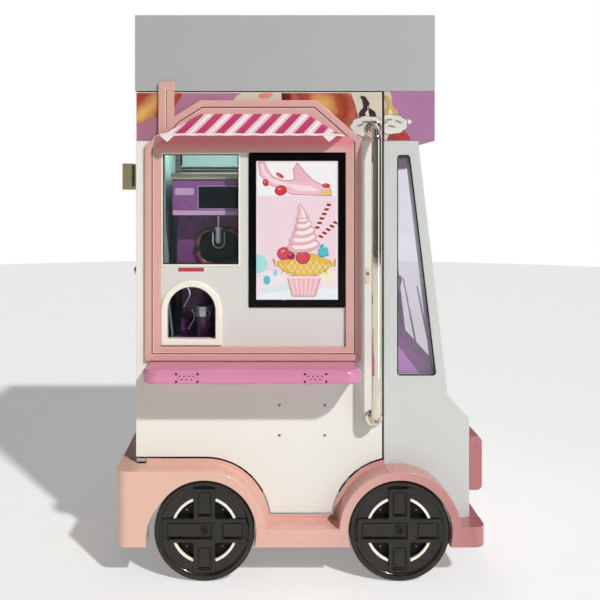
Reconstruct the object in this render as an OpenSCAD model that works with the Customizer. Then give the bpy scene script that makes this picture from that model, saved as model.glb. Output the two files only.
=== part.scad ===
// Soft-serve ice-cream kiosk built in the shape of a small delivery truck.
// Design datum: x = 0 at the rear axle, y = 0 on the body's mid-plane, z = 0 on the ground.
// +X points to the nose, +Y to the left-hand side, +Z up. The row's own origin is the
// centre of the whole model's footprint on the ground, so every node is shifted by in_frame().

/* [Body] */
// Distance from the front axle to the nose
front_overhang = 286; // [276:1:340]
// Distance from the rear face to the rear axle
rear_overhang = 272; // [265:1:330]
// Width of the body between its two side faces
body_w = 960; // [800:1:1200]
// Height of the roof above the ground
roof_top = 2169; // [2140:1:2650]
// Height of the roof box at the top of the body
roof_h = 296; // [200:1:400]
// Distance from the front end of the roof box back to the nose
roof_back = 134; // [100:1:160]
// Thickness of the side walls, the doors and the rear wall
wall = 40; // [33:1:48]
// Thickness of the roof box and of the fascia under it
shell = 20; // [12:1:24]
// Height of the printed sign band under the roof box
band_h = 195; // [150:1:230]
// Thickness of the floor, the ceiling and the bulkhead
board = 18; // [12:1:22]

/* [Wheels] */
// Diameter of a wheel
wheel_d = 382; // [318:1:420]
// Width of a wheel
wheel_w = 100; // [80:1:110]
// Distance between the two axles
wheelbase = 742; // [735:1:900]
// Diameter of an axle
axle_d = 36; // [28:1:44]
// Clearance on radius between an axle and the wheel's bore
axle_play = 0.05; // [0.02:0.01:0.1]
// How far the wheel's outer face sits back from the skirt's outer face
wheel_inset = 15; // [8:1:24]
// Depth of the wheel's bore measured from its inner face
hub_depth = 60; // [40:1:70]

/* [Skirt] */
// How far the skirt stands out from each side of the body
skirt_out = 100; // [90:1:130]
// Height of the skirt's lower edge above the ground
skirt_bottom = 135; // [110:1:150]
// Clearance on radius between a wheel and its arch
arch_gap = 6; // [5:1:14]
// Width of the flare round a wheel arch
flare_w = 34; // [28:1:44]
// Height of the sill ledge between the arches
sill_top = 204; // [190:1:220]
// Height of the ledge ahead of the front arch
bumper_top = 212; // [195:1:230]
// How far the skirt reaches ahead of the nose
skirt_front = 40; // [30:1:60]
// How far the skirt reaches behind the rear face
skirt_rear = 65; // [50:1:90]
// Thickness of the moulded skirt
skirt_t = 10; // [6:1:14]
// Corner radius of the skirt in plan
skirt_r = 45; // [30:1:60]
// Height of the riser that stands on the ledge under the door
riser_h = 17; // [12:1:20]
// Thickness of the riser
riser_t = 5; // [4:1:5]

/* [Service door] */
// Gap round the service door
door_gap = 7; // [6:0.5:10]
// Distance of the service door's front edge behind the front axle
door_back = 54; // [40:1:60]
// Distance of the door's pivot from its rear edge
pivot_in = 20; // [18:1:24]
// Diameter of the pivot pins of both doors
pin_d = 16; // [12:1:18]
// Clearance on radius round a pivot pin
pin_play = 0.05; // [0.02:0.01:0.1]
// Length of a pivot pin outside its door
pin_l = 22; // [18:1:28]
// Gap between the closed door's back and the jambs
jamb_gap = 14; // [12:1:18]

/* [House frame] */
// Width of the band of the house-shaped frame
frame_band = 62; // [50:1:70]
// Thickness of the house-shaped frame
frame_t = 14; // [10:1:20]
// Left edge of the face panel, from the door's rear edge
face_x = 98; // [90:1:110]
// Length of the face panel
face_l = 719; // [700:1:740]
// Height of the face panel's lower edge
face_z = 877; // [860:1:900]
// Height of the face panel
face_h = 756; // [740:1:770]
// Height of the flat top of the house's roof
house_top = 1836; // [1820:1:1850]
// Width of the chimney
chimney_w = 62; // [50:1:74]
// Height of the chimney's top
chimney_top = 1908; // [1890:1:1930]
// How far the frame's bearing edge laps over the face panel
lap = 10; // [6:1:14]

/* [Service face] */
// Thickness of the white face panel
face_t = 30; // [20:1:32]
// Width of the service window
window_l = 299; // [260:1:310]
// Height of the service window
window_h = 433; // [400:1:440]
// Thickness of the glass panes
glass_t = 6; // [4:1:8]
// Width of the display's housing
display_w = 376; // [360:1:390]
// Height of the display's housing
display_h = 603; // [560:1:610]
// Depth of the display's housing
display_t = 46; // [44:1:60]
// Width of the pick-up hatch
hatch_w = 187; // [170:1:190]
// Height of the pick-up hatch
hatch_h = 202; // [180:1:210]
// Width of the ring round the pick-up hatch
ring_w = 25; // [18:1:27]
// How far the ring stands out from the face panel
ring_out = 10; // [6:1:14]
// How far the awning's lower edge stands out from the house frame
awning_out = 66; // [50:1:90]
// Height of the awning, from its lower edge to its upper edge
awning_h = 89; // [70:1:100]
// Length of the awning along its lower edge
awning_l = 661; // [620:1:700]

/* [Counter and rail] */
// Length of the counter shelf
shelf_l = 819; // [760:1:840]
// How far the counter shelf stands out from the door
shelf_out = 178; // [150:1:220]
// Thickness of the counter shelf
shelf_t = 52; // [40:1:56]
// Corner radius of the counter shelf in plan
shelf_r = 60; // [40:1:80]
// Diameter of the grab rail's tube
rail_d = 38; // [32:1:42]
// Height of the grab rail's lower flange
rail_low = 600; // [560:1:640]
// Height of the grab rail's upper flange
rail_high = 1723; // [1660:1:1760]
// Distance from the door to the middle of the grab rail
rail_out = 85; // [75:1:100]
// Bend radius of the grab rail
rail_bend = 57; // [45:1:60]
// Diameter of the grab rail's flanges
flange_d = 70; // [60:1:76]
// Width of the accessory screw pattern under the counter
screw_dx = 177; // [150:1:190]
// Height of the accessory screw pattern under the counter
screw_dz = 117; // [100:1:130]
// Diameter of the accessory screw holes
screw_d = 6; // [5:0.5:8]

/* [Cab] */
// Height of the foot of the windshield
cowl_z = 684; // [660:1:700]
// Height of the top of the vertical nose
nose_z = 597; // [580:1:620]
// How far the windshield leans back over its height
rake = 116; // [96:1:140]
// Length of the short bonnet
bonnet_l = 83; // [70:1:100]
// Height of the cab windows' lower edge
cab_sill = 763; // [740:1:780]
// Height of the cab windows
cab_win_h = 860; // [820:1:870]
// Height of the bumper bar's lower edge
bar_low = 316; // [300:1:330]
// Height of the bumper bar on the nose
bar_h = 209; // [180:1:220]
// How far the bumper bar stands out from the nose
bar_out = 50; // [40:1:60]
// Radius of the bumper bar's outer edges
bar_r = 20; // [10:1:20]
// Diameter of a headlight
lamp_d = 120; // [100:1:140]

/* [Rear door] */
// Gap between the rear door and its opening
rear_gap = 6; // [5:1:8]
// Height of the rear door's opening above the skirt's ledge
rear_step = 28; // [24:1:60]
// Height of the rear door's knob
knob_z = 1155; // [1100:1:1200]
// Diameter of the rear door's knob
knob_d = 54; // [44:1:60]
// How far the knob stands out from the rear door
knob_out = 36; // [30:1:42]
// How far the bracket on the rear door stands out
bracket_out = 77; // [60:1:90]
// Height of the bracket on the rear door
bracket_h = 107; // [90:1:120]
// Height of the bracket's lower edge above the ground
bracket_z = 1488; // [1450:1:1520]
// Width of the slot in the bracket
bracket_slot = 12; // [10:1:16]

/* [Ice-cream machine] */
// Width of the machine
machine_w = 330; // [300:1:340]
// Height of the top of the machine's head
head_top = 1530; // [1500:1:1550]
// Height of the machine's head
head_h = 147; // [120:1:160]
// How far the machine's head overhangs its cabinet
head_out = 100; // [80:1:120]
// Diameter of the round freezing chamber's mouth
chamber_d = 150; // [120:1:160]
// Diameter of the dispenser nozzle
nozzle_d = 24; // [18:1:30]
// Diameter of the cup holder
cup_d = 70; // [60:1:90]

/* [Hidden] */
$fn = 96;
// Facets of the round corners that are made by hull()
soft_fn = 32;
// Overlap that keeps a cut from ending on a face
eps = 0.5;
// How far the roof box overhangs the rear face
roof_lip = 4;
// Depth of the glass behind the outer face, in the cab and in the service window
pane_in = 8;
// Thickness of a headlight's lens outside the bumper bar
lamp_t = 10;
// Clearance beyond the end of a pivot pin
pin_end = 1;
// Length of a pivot pin inside its door
pin_root = 10;

half_w = body_w/2;
wheel_r = wheel_d/2;
axle_z = wheel_r;
axle_r = axle_d/2;
x_rear = -rear_overhang;
x_nose = wheelbase + front_overhang;
x_skirt0 = x_rear - skirt_rear;
x_skirt1 = x_nose + skirt_front;
x_door1 = wheelbase - door_back;
x_cab = x_door1 + door_gap;
x_roof0 = x_rear - roof_lip;
x_roof1 = x_nose - roof_back;
y_skirt = half_w + skirt_out;
y_wheel1 = y_skirt - wheel_inset;
y_wheel0 = y_wheel1 - wheel_w;
roof_z = roof_top - roof_h;
band_z = roof_z - band_h;
arch_r = wheel_r + arch_gap;
flare_r = arch_r + flare_w;
ledge_z = axle_z + flare_r;
// Lower edge of the doors and side panels above the skirt's ledge
door_lift = riser_h + door_gap;
door_top = roof_z - 5;
// Chassis levels
rail_h = 80;
rail_w = 60;
rail_y = 230;
rail_z = axle_z + axle_r + 21;
floor_z = rail_z + rail_h;
cabin_z = floor_z + board;
// Jambs behind the service door
y_jamb = half_w - wall - jamb_gap;
jamb_t = 26;
post_w = 46;
// Plate that holds the service door's lower pivot, over the ledge and behind the riser
plate_z = ledge_z + 4;
plate_t = 12;
y_plate = -half_w + riser_t + 1;
// Rear door: it is a little thinner than the wall that it closes
rear_t = wall - 6;
rear_low = ledge_z + rear_step;
// Pivots of the two doors
pivot_x = x_rear + pivot_in;
pivot_y = -(half_w - wall/2);
rear_pivot_x = x_rear + rear_t/2;
rear_edge_y = half_w - 108;
rear_pivot_y = rear_edge_y - 16;
rear_open_y0 = -y_jamb + 60;
rear_open_y1 = rear_edge_y + 14;
rear_high = roof_z - 53;
pin_r = pin_d/2;
// Service face
face_x0 = x_rear + face_x;
face_x1 = face_x0 + face_l;
face_z1 = face_z + face_h;
frame_x0 = face_x0 - frame_band;
frame_x1 = face_x1 + frame_band;
frame_z0 = face_z - frame_band + 7;
chimney_x0 = face_x0 - 10;
chimney_x1 = chimney_x0 + chimney_w;
window_x0 = face_x0 + 5;
window_z1 = face_z1 - 5;
window_z0 = window_z1 - window_h;
display_x1 = face_x1 - 1;
display_x0 = display_x1 - display_w;
display_z1 = face_z1 - 1;
display_z0 = display_z1 - display_h;
hatch_x = face_x0 + ring_w + hatch_w/2;
hatch_z0 = face_z + 30;
sleeve_t = 6;
awning_x0 = face_x0 + 10;
awning_z = face_z1 + 60;
y_face = -half_w - frame_t;
// Counter, rail and the screw pattern below the counter
shelf_z1 = frame_z0 - 1;
shelf_z0 = shelf_z1 - shelf_t;
shelf_x0 = x_rear + 43;
shelf_x1 = shelf_x0 + shelf_l;
rail_x = x_door1 - 34;
screw_x = frame_x0 + frame_band + 550;
screw_z = shelf_z0 - 180;
// Cab outline in side view
x_cowl = x_nose - bonnet_l;
x_header = x_cowl - rake;
cab_post = 52;
pillar = 38;
cab_corner = 12;
// Machine
machine_x0 = face_x0 + 34;
machine_x1 = machine_x0 + machine_w;
y_head = -(y_jamb - 26);
y_cabinet = y_head + head_out;
machine_back = -20;
chamber_x = machine_x0 + 184;
chamber_z = head_top - 276;
// Bay in the machine where the cup is filled, opposite the pick-up hatch
bay_depth = 180;
bay_x0 = hatch_x - hatch_w/2 + 5;
bay_x1 = hatch_x + hatch_w/2 + 30;
bay_z0 = hatch_z0 - 20;
bay_z1 = hatch_z0 + hatch_h;
// Bounds of the whole model, for its origin
x_min = x_rear - bracket_out;
x_max = x_nose + bar_out + lamp_t;
y_min = -half_w - shelf_out;
y_max = y_skirt;

module in_frame() {
    translate([-(x_min + x_max)/2, -(y_min + y_max)/2, 0]) children();
}

// A box from its low corner to its high corner
module box(low, high) {
    translate(low) cube(high - low);
}

// An outline drawn in the x-z plane, given a thickness from y0 to y1
module wall_xz(y0, y1) {
    translate([0, y1, 0]) rotate([90, 0, 0]) linear_extrude(y1 - y0) children();
}

// An outline drawn in the y-z plane, given a thickness from x0 to x1
module wall_yz(x0, x1) {
    translate([x0, 0, 0]) rotate([90, 0, 90]) linear_extrude(x1 - x0) children();
}

// A rectangle from its low corner to its high corner
module rect(low, high) {
    translate(low) square(high - low);
}

// A rectangle with round corners, of circles and squares only
module round_rect(low, high, r) {
    rect([low.x + r, low.y], [high.x - r, high.y]);
    rect([low.x, low.y + r], [high.x, high.y - r]);
    for (x = [low.x + r, high.x - r], y = [low.y + r, high.y - r]) translate([x, y]) circle(r);
}

// A solid on the right-hand side, and its twin on the left
module left_twin() {
    mirror([0, 1, 0]) children();
}

/* ---- chassis, axles and wheels ---- */

module chassis_frame() color("dimgray") in_frame() {
    member_w = 50;
    member_gap = 242;
    beam_w = 38;
    nose_gap = 12;
    for (s = [-1, 1])
        box([x_rear, s*rail_y - rail_w/2, rail_z], [x_nose - wall, s*rail_y + rail_w/2, floor_z]);
    for (s = [-1, 1])
        cross_beam(wheelbase/2 + s*(member_gap + member_w)/2 - member_w/2, member_w, rail_y, 10);
    cross_beam(x_rear, beam_w, half_w, 0);
    cross_beam(x_nose - wall - nose_gap - beam_w, beam_w, half_w - wall, 0);
}

// A cross beam of the chassis, from x over its width, that is inset above and below
module cross_beam(x, width, y_end, inset) {
    box([x, -y_end, rail_z + inset], [x + width, y_end, floor_z - inset]);
}

module axle(x) color("gray") in_frame() {
    end_gap = 6;
    saddle = 32;
    saddle_low = 8;
    translate([x, 0, axle_z]) rotate([90, 0, 0])
        cylinder(h = 2*(y_wheel0 + hub_depth - end_gap), r = axle_r, center = true);
    for (s = [-1, 1])
        box([x - saddle, s*rail_y - rail_w/2, axle_z - saddle_low],
            [x + saddle, s*rail_y + rail_w/2, rail_z]);
}

module axle_front() axle(wheelbase);
module axle_rear() axle(0);

// Moulded wheel on the right-hand side, its outer face towards -Y
module wheel(x) {
    arm_w = 98;
    arm_h = 68;
    reach = 163;
    arm_in = 3;
    lip = 14;
    dish = 12;
    translate([x, -y_wheel0, axle_z]) rotate([90, 0, 0]) difference() {
        union() {
            rotate_extrude() wheel_section(lip, dish);
            intersection() {
                cylinder(h = wheel_w, r = reach);
                union() {
                    box([-wheel_r, -arm_w/2, wheel_w - dish - eps], [wheel_r, arm_w/2, wheel_w - arm_in]);
                    box([-arm_h/2, -wheel_r, wheel_w - dish - eps], [arm_h/2, wheel_r, wheel_w - arm_in]);
                }
            }
        }
        translate([0, 0, -eps]) cylinder(h = hub_depth + eps, r = axle_r + axle_play);
    }
}

// Half section of a wheel: round shoulders, a lip and a dished face
module wheel_section(lip, dish) {
    shoulder = 12;
    difference() {
        union() {
            square([wheel_r - shoulder, wheel_w]);
            translate([0, shoulder]) square([wheel_r, wheel_w - 2*shoulder]);
            for (y = [shoulder, wheel_w - shoulder])
                translate([wheel_r - shoulder, y]) circle(shoulder);
        }
        translate([-eps, wheel_w - dish]) square([wheel_r - shoulder - lip + eps, dish + eps]);
    }
}

module wheel_front_right() color("#201f1d") in_frame() wheel(wheelbase);
module wheel_front_left() color("#201f1d") in_frame() left_twin() wheel(wheelbase);
module wheel_rear_right() color("#201f1d") in_frame() wheel(0);
module wheel_rear_left() color("#201f1d") in_frame() left_twin() wheel(0);

/* ---- skirt ---- */

// Side view of all that lies under the skirt's top line, grown outwards by k
module under_line(k) {
    low = -200;
    rect([x_skirt0, low], [0, ledge_z + k]);
    rect([0, low], [wheelbase, sill_top + k]);
    rect([wheelbase, low], [x_skirt1, bumper_top + k]);
    for (x = [0, wheelbase]) translate([x, axle_z]) circle(flare_r + k);
}

// The wheel arches: the rear one spreads backwards towards its lower end
module arches(r) {
    spread = [-24, -30];
    for (x = [0, wheelbase]) translate([x, axle_z]) circle(r);
    translate([spread.x, axle_z + spread.y]) circle(r);
}

// Room inside the skirt's round corners in plan, t inside its outer face
module skirt_plan(t) {
    linear_extrude(2*ledge_z)
        round_rect([x_skirt0 + t, -y_skirt + t], [x_skirt1 - t, y_skirt - t], skirt_r - t);
}

module skirt_side() {
    intersection() {
        difference() {
            wall_xz(-y_skirt, -half_w) difference() {
                intersection() {
                    under_line(0);
                    rect([x_skirt0, skirt_bottom], [x_skirt1, ledge_z]);
                }
                arches(arch_r);
            }
            intersection() {
                wall_xz(-y_skirt, -half_w + eps) difference() {
                    under_line(-skirt_t);
                    arches(arch_r + skirt_t);
                }
                skirt_plan(skirt_t);
            }
        }
        skirt_plan(0);
    }
    // Riser on the ledge, flush with the door and stopping short of the door's pivot
    wall_xz(-half_w, -half_w + riser_t) difference() {
        intersection() {
            under_line(riser_h);
            rect([x_rear + 2*pivot_in, skirt_bottom], [x_cab, ledge_z + riser_h]);
        }
        under_line(-skirt_t);
        arches(arch_r);
    }
}

module skirt_right() color("#d99a94") in_frame() skirt_side();
module skirt_left() color("#d99a94") in_frame() left_twin() skirt_side();

module front_bumper() color("#be7f80") in_frame() wall_angle(x_nose, x_skirt1, bumper_top);
module rear_bumper() color("#e0b09c") in_frame() wall_angle(x_rear, x_skirt0, ledge_z);

// Angle between the side skirts: a ledge from x_in to x_out and a skin that hangs at x_out
module wall_angle(x_in, x_out, top) {
    s = sign(x_out - x_in);
    wall_xz(-half_w, half_w) {
        rect([min(x_in, x_out), top - skirt_t], [max(x_in, x_out), top]);
        rect([min(x_out, x_out - s*skirt_t), skirt_bottom], [max(x_out, x_out - s*skirt_t), top]);
    }
}

/* ---- body shell ---- */

module floor_panel() color("#8c8f90") in_frame()
    box([x_rear + wall, -y_jamb, floor_z], [x_nose - wall, y_jamb, cabin_z]);

module door_frame() color("#bfc2c0") in_frame() {
    x0 = x_rear + wall;
    rear_in = 2;
    wall_xz(-y_jamb, -y_jamb + jamb_t) difference() {
        rect([x0, cabin_z], [x_cab, roof_z]);
        rect([x0 + post_w, cabin_z + post_w], [x_cab - post_w, roof_z - post_w]);
    }
    // Lower pivot plate of the service door
    difference() {
        union() {
            box([x_rear + rear_in, y_plate, plate_z], [x0 + post_w, -y_jamb - 1, plate_z + plate_t]);
            box([x0, y_plate, plate_z], [x0 + post_w, -y_jamb + jamb_t, plate_z + plate_t]);
        }
        translate([pivot_x, pivot_y, plate_z - eps])
            cylinder(h = plate_t + 2*eps, r = pin_r + pin_play);
    }
}

module rear_frame() color("#c9cbc9") in_frame() difference() {
    box([x_rear, -y_jamb, cabin_z], [x_rear + wall, half_w - wall, roof_z]);
    box([x_rear - eps, rear_open_y0, rear_low], [x_rear + wall + eps, rear_open_y1, rear_high]);
    for (z = [rear_low - pin_l - pin_end, rear_high - eps])
        translate([rear_pivot_x, rear_pivot_y, z])
            cylinder(h = pin_l + pin_end + eps, r = pin_r + pin_play);
}

// Side view of a door or side panel over the skirt's top line
module side_outline(x1, top) {
    difference() {
        rect([x_rear, 0], [x1, top]);
        under_line(door_lift);
    }
}

module left_side_panel() color("#d9dad5") in_frame()
    wall_xz(half_w - wall, half_w) side_outline(x_cab, roof_z);

module bulkhead() color("#a8abab") in_frame()
    box([x_cab, -half_w + wall, cabin_z], [x_cab + board, half_w - wall, roof_z]);

// Side view of the whole cab
module cab_outline() {
    polygon([
        [x_cab, bumper_top], [x_nose, bumper_top], [x_nose, nose_z],
        [x_cowl, cowl_z], [x_header, band_z], [x_cab, band_z],
    ]);
}

// The windshield's outer surface at height z
function screen_x(z) = x_cowl - (x_cowl - x_header)*(z - cowl_z)/(band_z - cowl_z);

// Cab side window: its front edge follows the windshield
module cab_window() {
    r = cab_corner;
    x0 = x_cab + cab_post;
    z0 = cab_sill;
    z1 = cab_sill + cab_win_h;
    hull() {
        translate([x0 + r, z0 + r]) circle(r, $fn = soft_fn);
        translate([x0 + r, z1 - r]) circle(r, $fn = soft_fn);
        translate([screen_x(z0) - pillar - r, z0 + r]) circle(r, $fn = soft_fn);
        translate([screen_x(z1) - pillar - r, z1 - r]) circle(r, $fn = soft_fn);
    }
}

module cab_side() {
    arch_clear = 15;
    wall_xz(-half_w, -half_w + wall) difference() {
        cab_outline();
        translate([wheelbase, axle_z]) circle(arch_r + arch_clear);
        cab_window();
    }
}

module cab_side_right() color("#cdcfcc") in_frame() cab_side();
module cab_side_left() color("#cdcfcc") in_frame() left_twin() cab_side();

module windshield_frame() color("#cdcfcc") in_frame() {
    y1 = half_w - wall;
    difference() {
        wall_xz(-y1, y1) polygon([
            [x_cowl, cowl_z], [x_cowl - wall, cowl_z], [x_header - wall, band_z], [x_header, band_z],
        ]);
        box([x_header - 2*wall, -y1 + cab_post, cab_sill], [x_nose, y1 - cab_post, cab_sill + cab_win_h]);
    }
}

module cab_glass() color("#c6bbd0") in_frame() {
    z0 = cab_sill;
    z1 = cab_sill + cab_win_h;
    y1 = half_w - wall - cab_post;
    for (s = [0, 1]) mirror([0, s, 0])
        wall_xz(-half_w + pane_in, -half_w + pane_in + glass_t) cab_window();
    wall_xz(-y1, y1) polygon([
        [screen_x(z0) - pane_in, z0], [screen_x(z0) - pane_in - glass_t, z0],
        [screen_x(z1) - pane_in - glass_t, z1], [screen_x(z1) - pane_in, z1],
    ]);
}

module nose_panel() color("#cdcfcc") in_frame() {
    y1 = half_w - wall;
    wall_xz(-y1, y1) polygon([
        [x_nose, bumper_top], [x_nose, nose_z], [x_cowl, cowl_z],
        [x_cowl - wall, cowl_z], [x_nose - wall, nose_z], [x_nose - wall, bumper_top],
    ]);
}

module bumper_bar() color("#b87b7d") in_frame()
    wall_xz(-half_w, half_w) round_nose([x_nose, bar_low], [x_nose + bar_out, bar_low + bar_h], bar_r);

// A rectangle with its two outer corners round
module round_nose(low, high, r) {
    rect(low, [high.x - r, high.y]);
    rect([low.x, low.y + r], [high.x, high.y - r]);
    for (y = [low.y + r, high.y - r]) translate([high.x - r, y]) circle(r);
}

module headlights() color("#e8e6dc") in_frame() {
    lamp_in = 130;
    for (s = [-1, 1])
        translate([x_nose + bar_out, s*(half_w - lamp_in), bar_low + bar_h/2]) rotate([0, 90, 0])
            cylinder(h = lamp_t, r = lamp_d/2);
}

module cab_header() color("#a9679b") in_frame() difference() {
    box([x_cab, -half_w, band_z], [x_roof1, half_w, roof_z]);
    box([x_cab + board, -half_w + shell, band_z + shell], [x_roof1 - shell, half_w - shell, roof_z + eps]);
    box([x_cab - eps, -half_w + wall, band_z - eps], [x_cab + board, half_w - wall, roof_z + eps]);
}

// Room of the block in the roof box that holds the service door's upper pivot
module pivot_block(inset, low, high) {
    reach = 26;
    box([x_roof0 + inset, -half_w + inset, low], [pivot_x + reach, pivot_y + reach, high]);
}

module roof_box() color("#b3b5b3") in_frame() difference() {
    union() {
        difference() {
            box([x_roof0, -half_w, roof_z], [x_roof1, half_w, roof_top]);
            box([x_roof0 + shell, -half_w + shell, roof_z - eps],
                [x_roof1 - shell, half_w - shell, roof_top - shell]);
        }
        pivot_block(eps, roof_z, roof_z + pin_l + pin_root);
    }
    translate([pivot_x, pivot_y, roof_z - eps]) cylinder(h = pin_l + eps, r = pin_r + pin_play);
}

module ceiling() color("#9dbfbc") in_frame() difference() {
    box([x_roof0 + shell, -half_w + shell, roof_z], [x_roof1 - shell, half_w - shell, roof_z + board]);
    pivot_block(0, roof_z - eps, roof_z + board + eps);
}

/* ---- inside ---- */

module dashboard() color("#7b2f74") in_frame() {
    gap = 4;
    flat_l = 60;
    front_h = 50;
    slope_h = 26;
    back_h = 80;
    x1 = screen_x(cab_sill) - wall - gap;
    y1 = half_w - wall;
    z1 = cab_sill - gap;
    wall_xz(-y1, y1) polygon([
        [x_cab + board, z1 - slope_h - back_h], [x_cab + board, z1 - slope_h],
        [x1 - flat_l, z1], [x1, z1], [x1, z1 - front_h],
    ]);
}

// Lining of the space behind the service window, open to the front and below
module display_cell() color("#9dbfbc") in_frame() {
    t = 12;
    post_gap = 4;
    side_room = 40;
    back_room = 60;
    below_head = 700;
    x0 = x_rear + wall + post_w + post_gap;
    x1 = machine_x1 + side_room;
    y0 = -y_jamb + jamb_t;
    y1 = machine_back + back_room;
    z0 = head_top - below_head;
    z1 = roof_z - post_w;
    difference() {
        box([x0, y0, z0], [x1, y1, z1]);
        box([x0 + t, y0 - eps, z0 - eps], [x1 - t, y1 - t, z1 - t]);
    }
}

module machine_cabinet() color("#4d2a4e") in_frame() {
    side_in = 10;
    chamber_depth = 90;
    difference() {
        box([machine_x0 + side_in, y_cabinet, cabin_z], [machine_x1, machine_back, head_top - head_h]);
        translate([chamber_x, y_cabinet - eps, chamber_z]) rotate([-90, 0, 0])
            cylinder(h = chamber_depth, r = chamber_d/2);
        // Bay where the cup is filled and handed out
        box([bay_x0, y_cabinet - eps, bay_z0], [bay_x1, y_cabinet + bay_depth, bay_z1]);
    }
}

module machine_head() color("#7b4a80") in_frame()
    box([machine_x0, y_head, head_top - head_h], [machine_x1, machine_back, head_top]);

module dispenser_nozzle() color("silver") in_frame()
    translate([chamber_x, y_cabinet - head_out/2, head_top - head_h]) {
        tube_l = 52;
        collar_h = 14;
        collar_out = 4;
        collar_low = 62;
        spout_l = 50;
        translate([0, 0, -tube_l]) cylinder(h = tube_l, r = nozzle_d/4);
        translate([0, 0, -collar_low]) cylinder(h = collar_h, r1 = nozzle_d/2, r2 = nozzle_d/2 + collar_out);
        translate([0, 0, -collar_low - spout_l]) cylinder(h = spout_l, r = nozzle_d/2);
    }

// Ring that holds the cup, on a bracket from the machine
module cup_holder() color("silver") in_frame() {
    ring_h = 24;
    ring_t = 5;
    arm_h = 16;
    arm_w = 20;
    lift = 85;
    bay_gap = 10;
    x = hatch_x + 40;
    y = y_cabinet - cup_d/2 - bay_gap;
    z = hatch_z0 + lift;
    difference() {
        union() {
            translate([x, y, z]) cylinder(h = ring_h, r = cup_d/2);
            translate([0, 0, z + (ring_h - arm_h)/2])
                box([x - arm_w/2, y, 0], [x + arm_w/2, y_cabinet + bay_depth, arm_h]);
        }
        translate([x, y, z - eps]) cylinder(h = ring_h + 2*eps, r = cup_d/2 - ring_t);
    }
}

/* ---- service door ---- */

module service_door() color("#e7e7e0") in_frame() {
    screw_l = 24;
    difference() {
        wall_xz(-half_w, -half_w + wall) side_outline(x_door1, door_top);
        box([face_x0 - lap, -half_w - eps, face_z - lap],
            [face_x1 + lap, -half_w + wall + eps, face_z1 + lap]);
        for (x = [-1, 1], z = [-1, 1])
            translate([screw_x + x*screw_dx/2, -half_w - eps, screw_z + z*screw_dz/2])
                rotate([-90, 0, 0]) cylinder(h = screw_l, r = screw_d/2);
    }
    // Pivot pins: the lower one stands in the frame's plate, the upper one in the roof box
    translate([pivot_x, pivot_y, plate_z]) cylinder(h = door_lift, r = pin_r);
    translate([pivot_x, pivot_y, door_top - pin_root]) cylinder(h = pin_l + pin_root, r = pin_r);
}

// Front view of the house: walls, a roof with a flat ridge, and a chimney
module house_outline() {
    eaves_r = face_z1 + 51;
    eaves_l = face_z1 + 25;
    slope_r = 173;
    slope_l = 216;
    valley = 64;
    foot = 47;
    r = 8;
    polygon([
        [frame_x0, frame_z0], [frame_x1, frame_z0], [frame_x1, eaves_r],
        [frame_x1 - slope_r, house_top], [frame_x0 + slope_l, house_top],
        [chimney_x1, house_top - valley], [chimney_x0, eaves_l + foot], [frame_x0, eaves_l],
    ]);
    rect([chimney_x0, eaves_l], [chimney_x1, chimney_top - r]);
    rect([chimney_x0 + r, eaves_l], [chimney_x1 - r, chimney_top]);
    for (x = [chimney_x0 + r, chimney_x1 - r]) translate([x, chimney_top - r]) circle(r);
}

module house_frame() color("#d89a98") in_frame() {
    roof_gap = 5;
    low = 6;
    difference() {
        wall_xz(y_face, -half_w) difference() {
            house_outline();
            rect([face_x0, face_z], [face_x1, face_z1]);
        }
        // The chimney stays clear of the roof box
        box([chimney_x0 - eps, -half_w - roof_gap, door_top - low],
            [chimney_x1 + eps, -half_w + eps, chimney_top + eps]);
    }
}

// Striped canopy over the face: a wedge whose ends lean inwards
module awning() color("#ead5d8") in_frame() {
    lean = [148, 104];
    tail = [26, 39];
    skin = 1;
    rim = [4, 12];
    head_h = 8;
    foot_h = 6;
    x0 = awning_x0;
    x1 = x0 + awning_l;
    z1 = awning_z + awning_h;
    y1 = y_face - awning_out;
    hull() {
        box([x0 + lean[0], y_face - skin, z1 - head_h], [x1 - lean[1], y_face, z1]);
        box([x0, y1, awning_z], [x1, y1 + rim.x, awning_z + rim.y]);
        box([x0 - tail[0], y_face - skin, awning_z], [x1 + tail[1], y_face, awning_z + foot_h]);
    }
}

// Arch of the pick-up hatch, grown outwards by k
module hatch_arch(k) {
    r = hatch_w/2;
    top = hatch_z0 + hatch_h - r;
    rect([hatch_x - r - k, hatch_z0 - k], [hatch_x + r + k, top]);
    translate([hatch_x, top]) circle(r + k);
}

module face_panel() color("#e6e6e0") in_frame()
    wall_xz(-half_w, -half_w + face_t) difference() {
        rect([face_x0 - lap, face_z - lap], [face_x1 + lap, face_z1 + lap]);
        rect([window_x0, window_z0], [window_x0 + window_l, window_z1]);
        rect([display_x0, display_z0], [display_x1, display_z1]);
        hatch_arch(sleeve_t);
    }

module service_window() color("lightcyan") in_frame()
    wall_xz(-half_w + pane_in, -half_w + pane_in + glass_t)
        rect([window_x0, window_z0], [window_x0 + window_l, window_z1]);

module display_screen() color("#101012") in_frame() {
    proud = 6;
    wall_xz(-half_w - proud, -half_w - proud + display_t)
        rect([display_x0, display_z0], [display_x1, display_z1]);
}

module hatch_ring() color("#ece5d6") in_frame() {
    wall_xz(-half_w - ring_out, -half_w) difference() {
        hatch_arch(ring_w);
        hatch_arch(0);
    }
    wall_xz(-half_w, -half_w + face_t) difference() {
        hatch_arch(sleeve_t);
        hatch_arch(0);
    }
}

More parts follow.
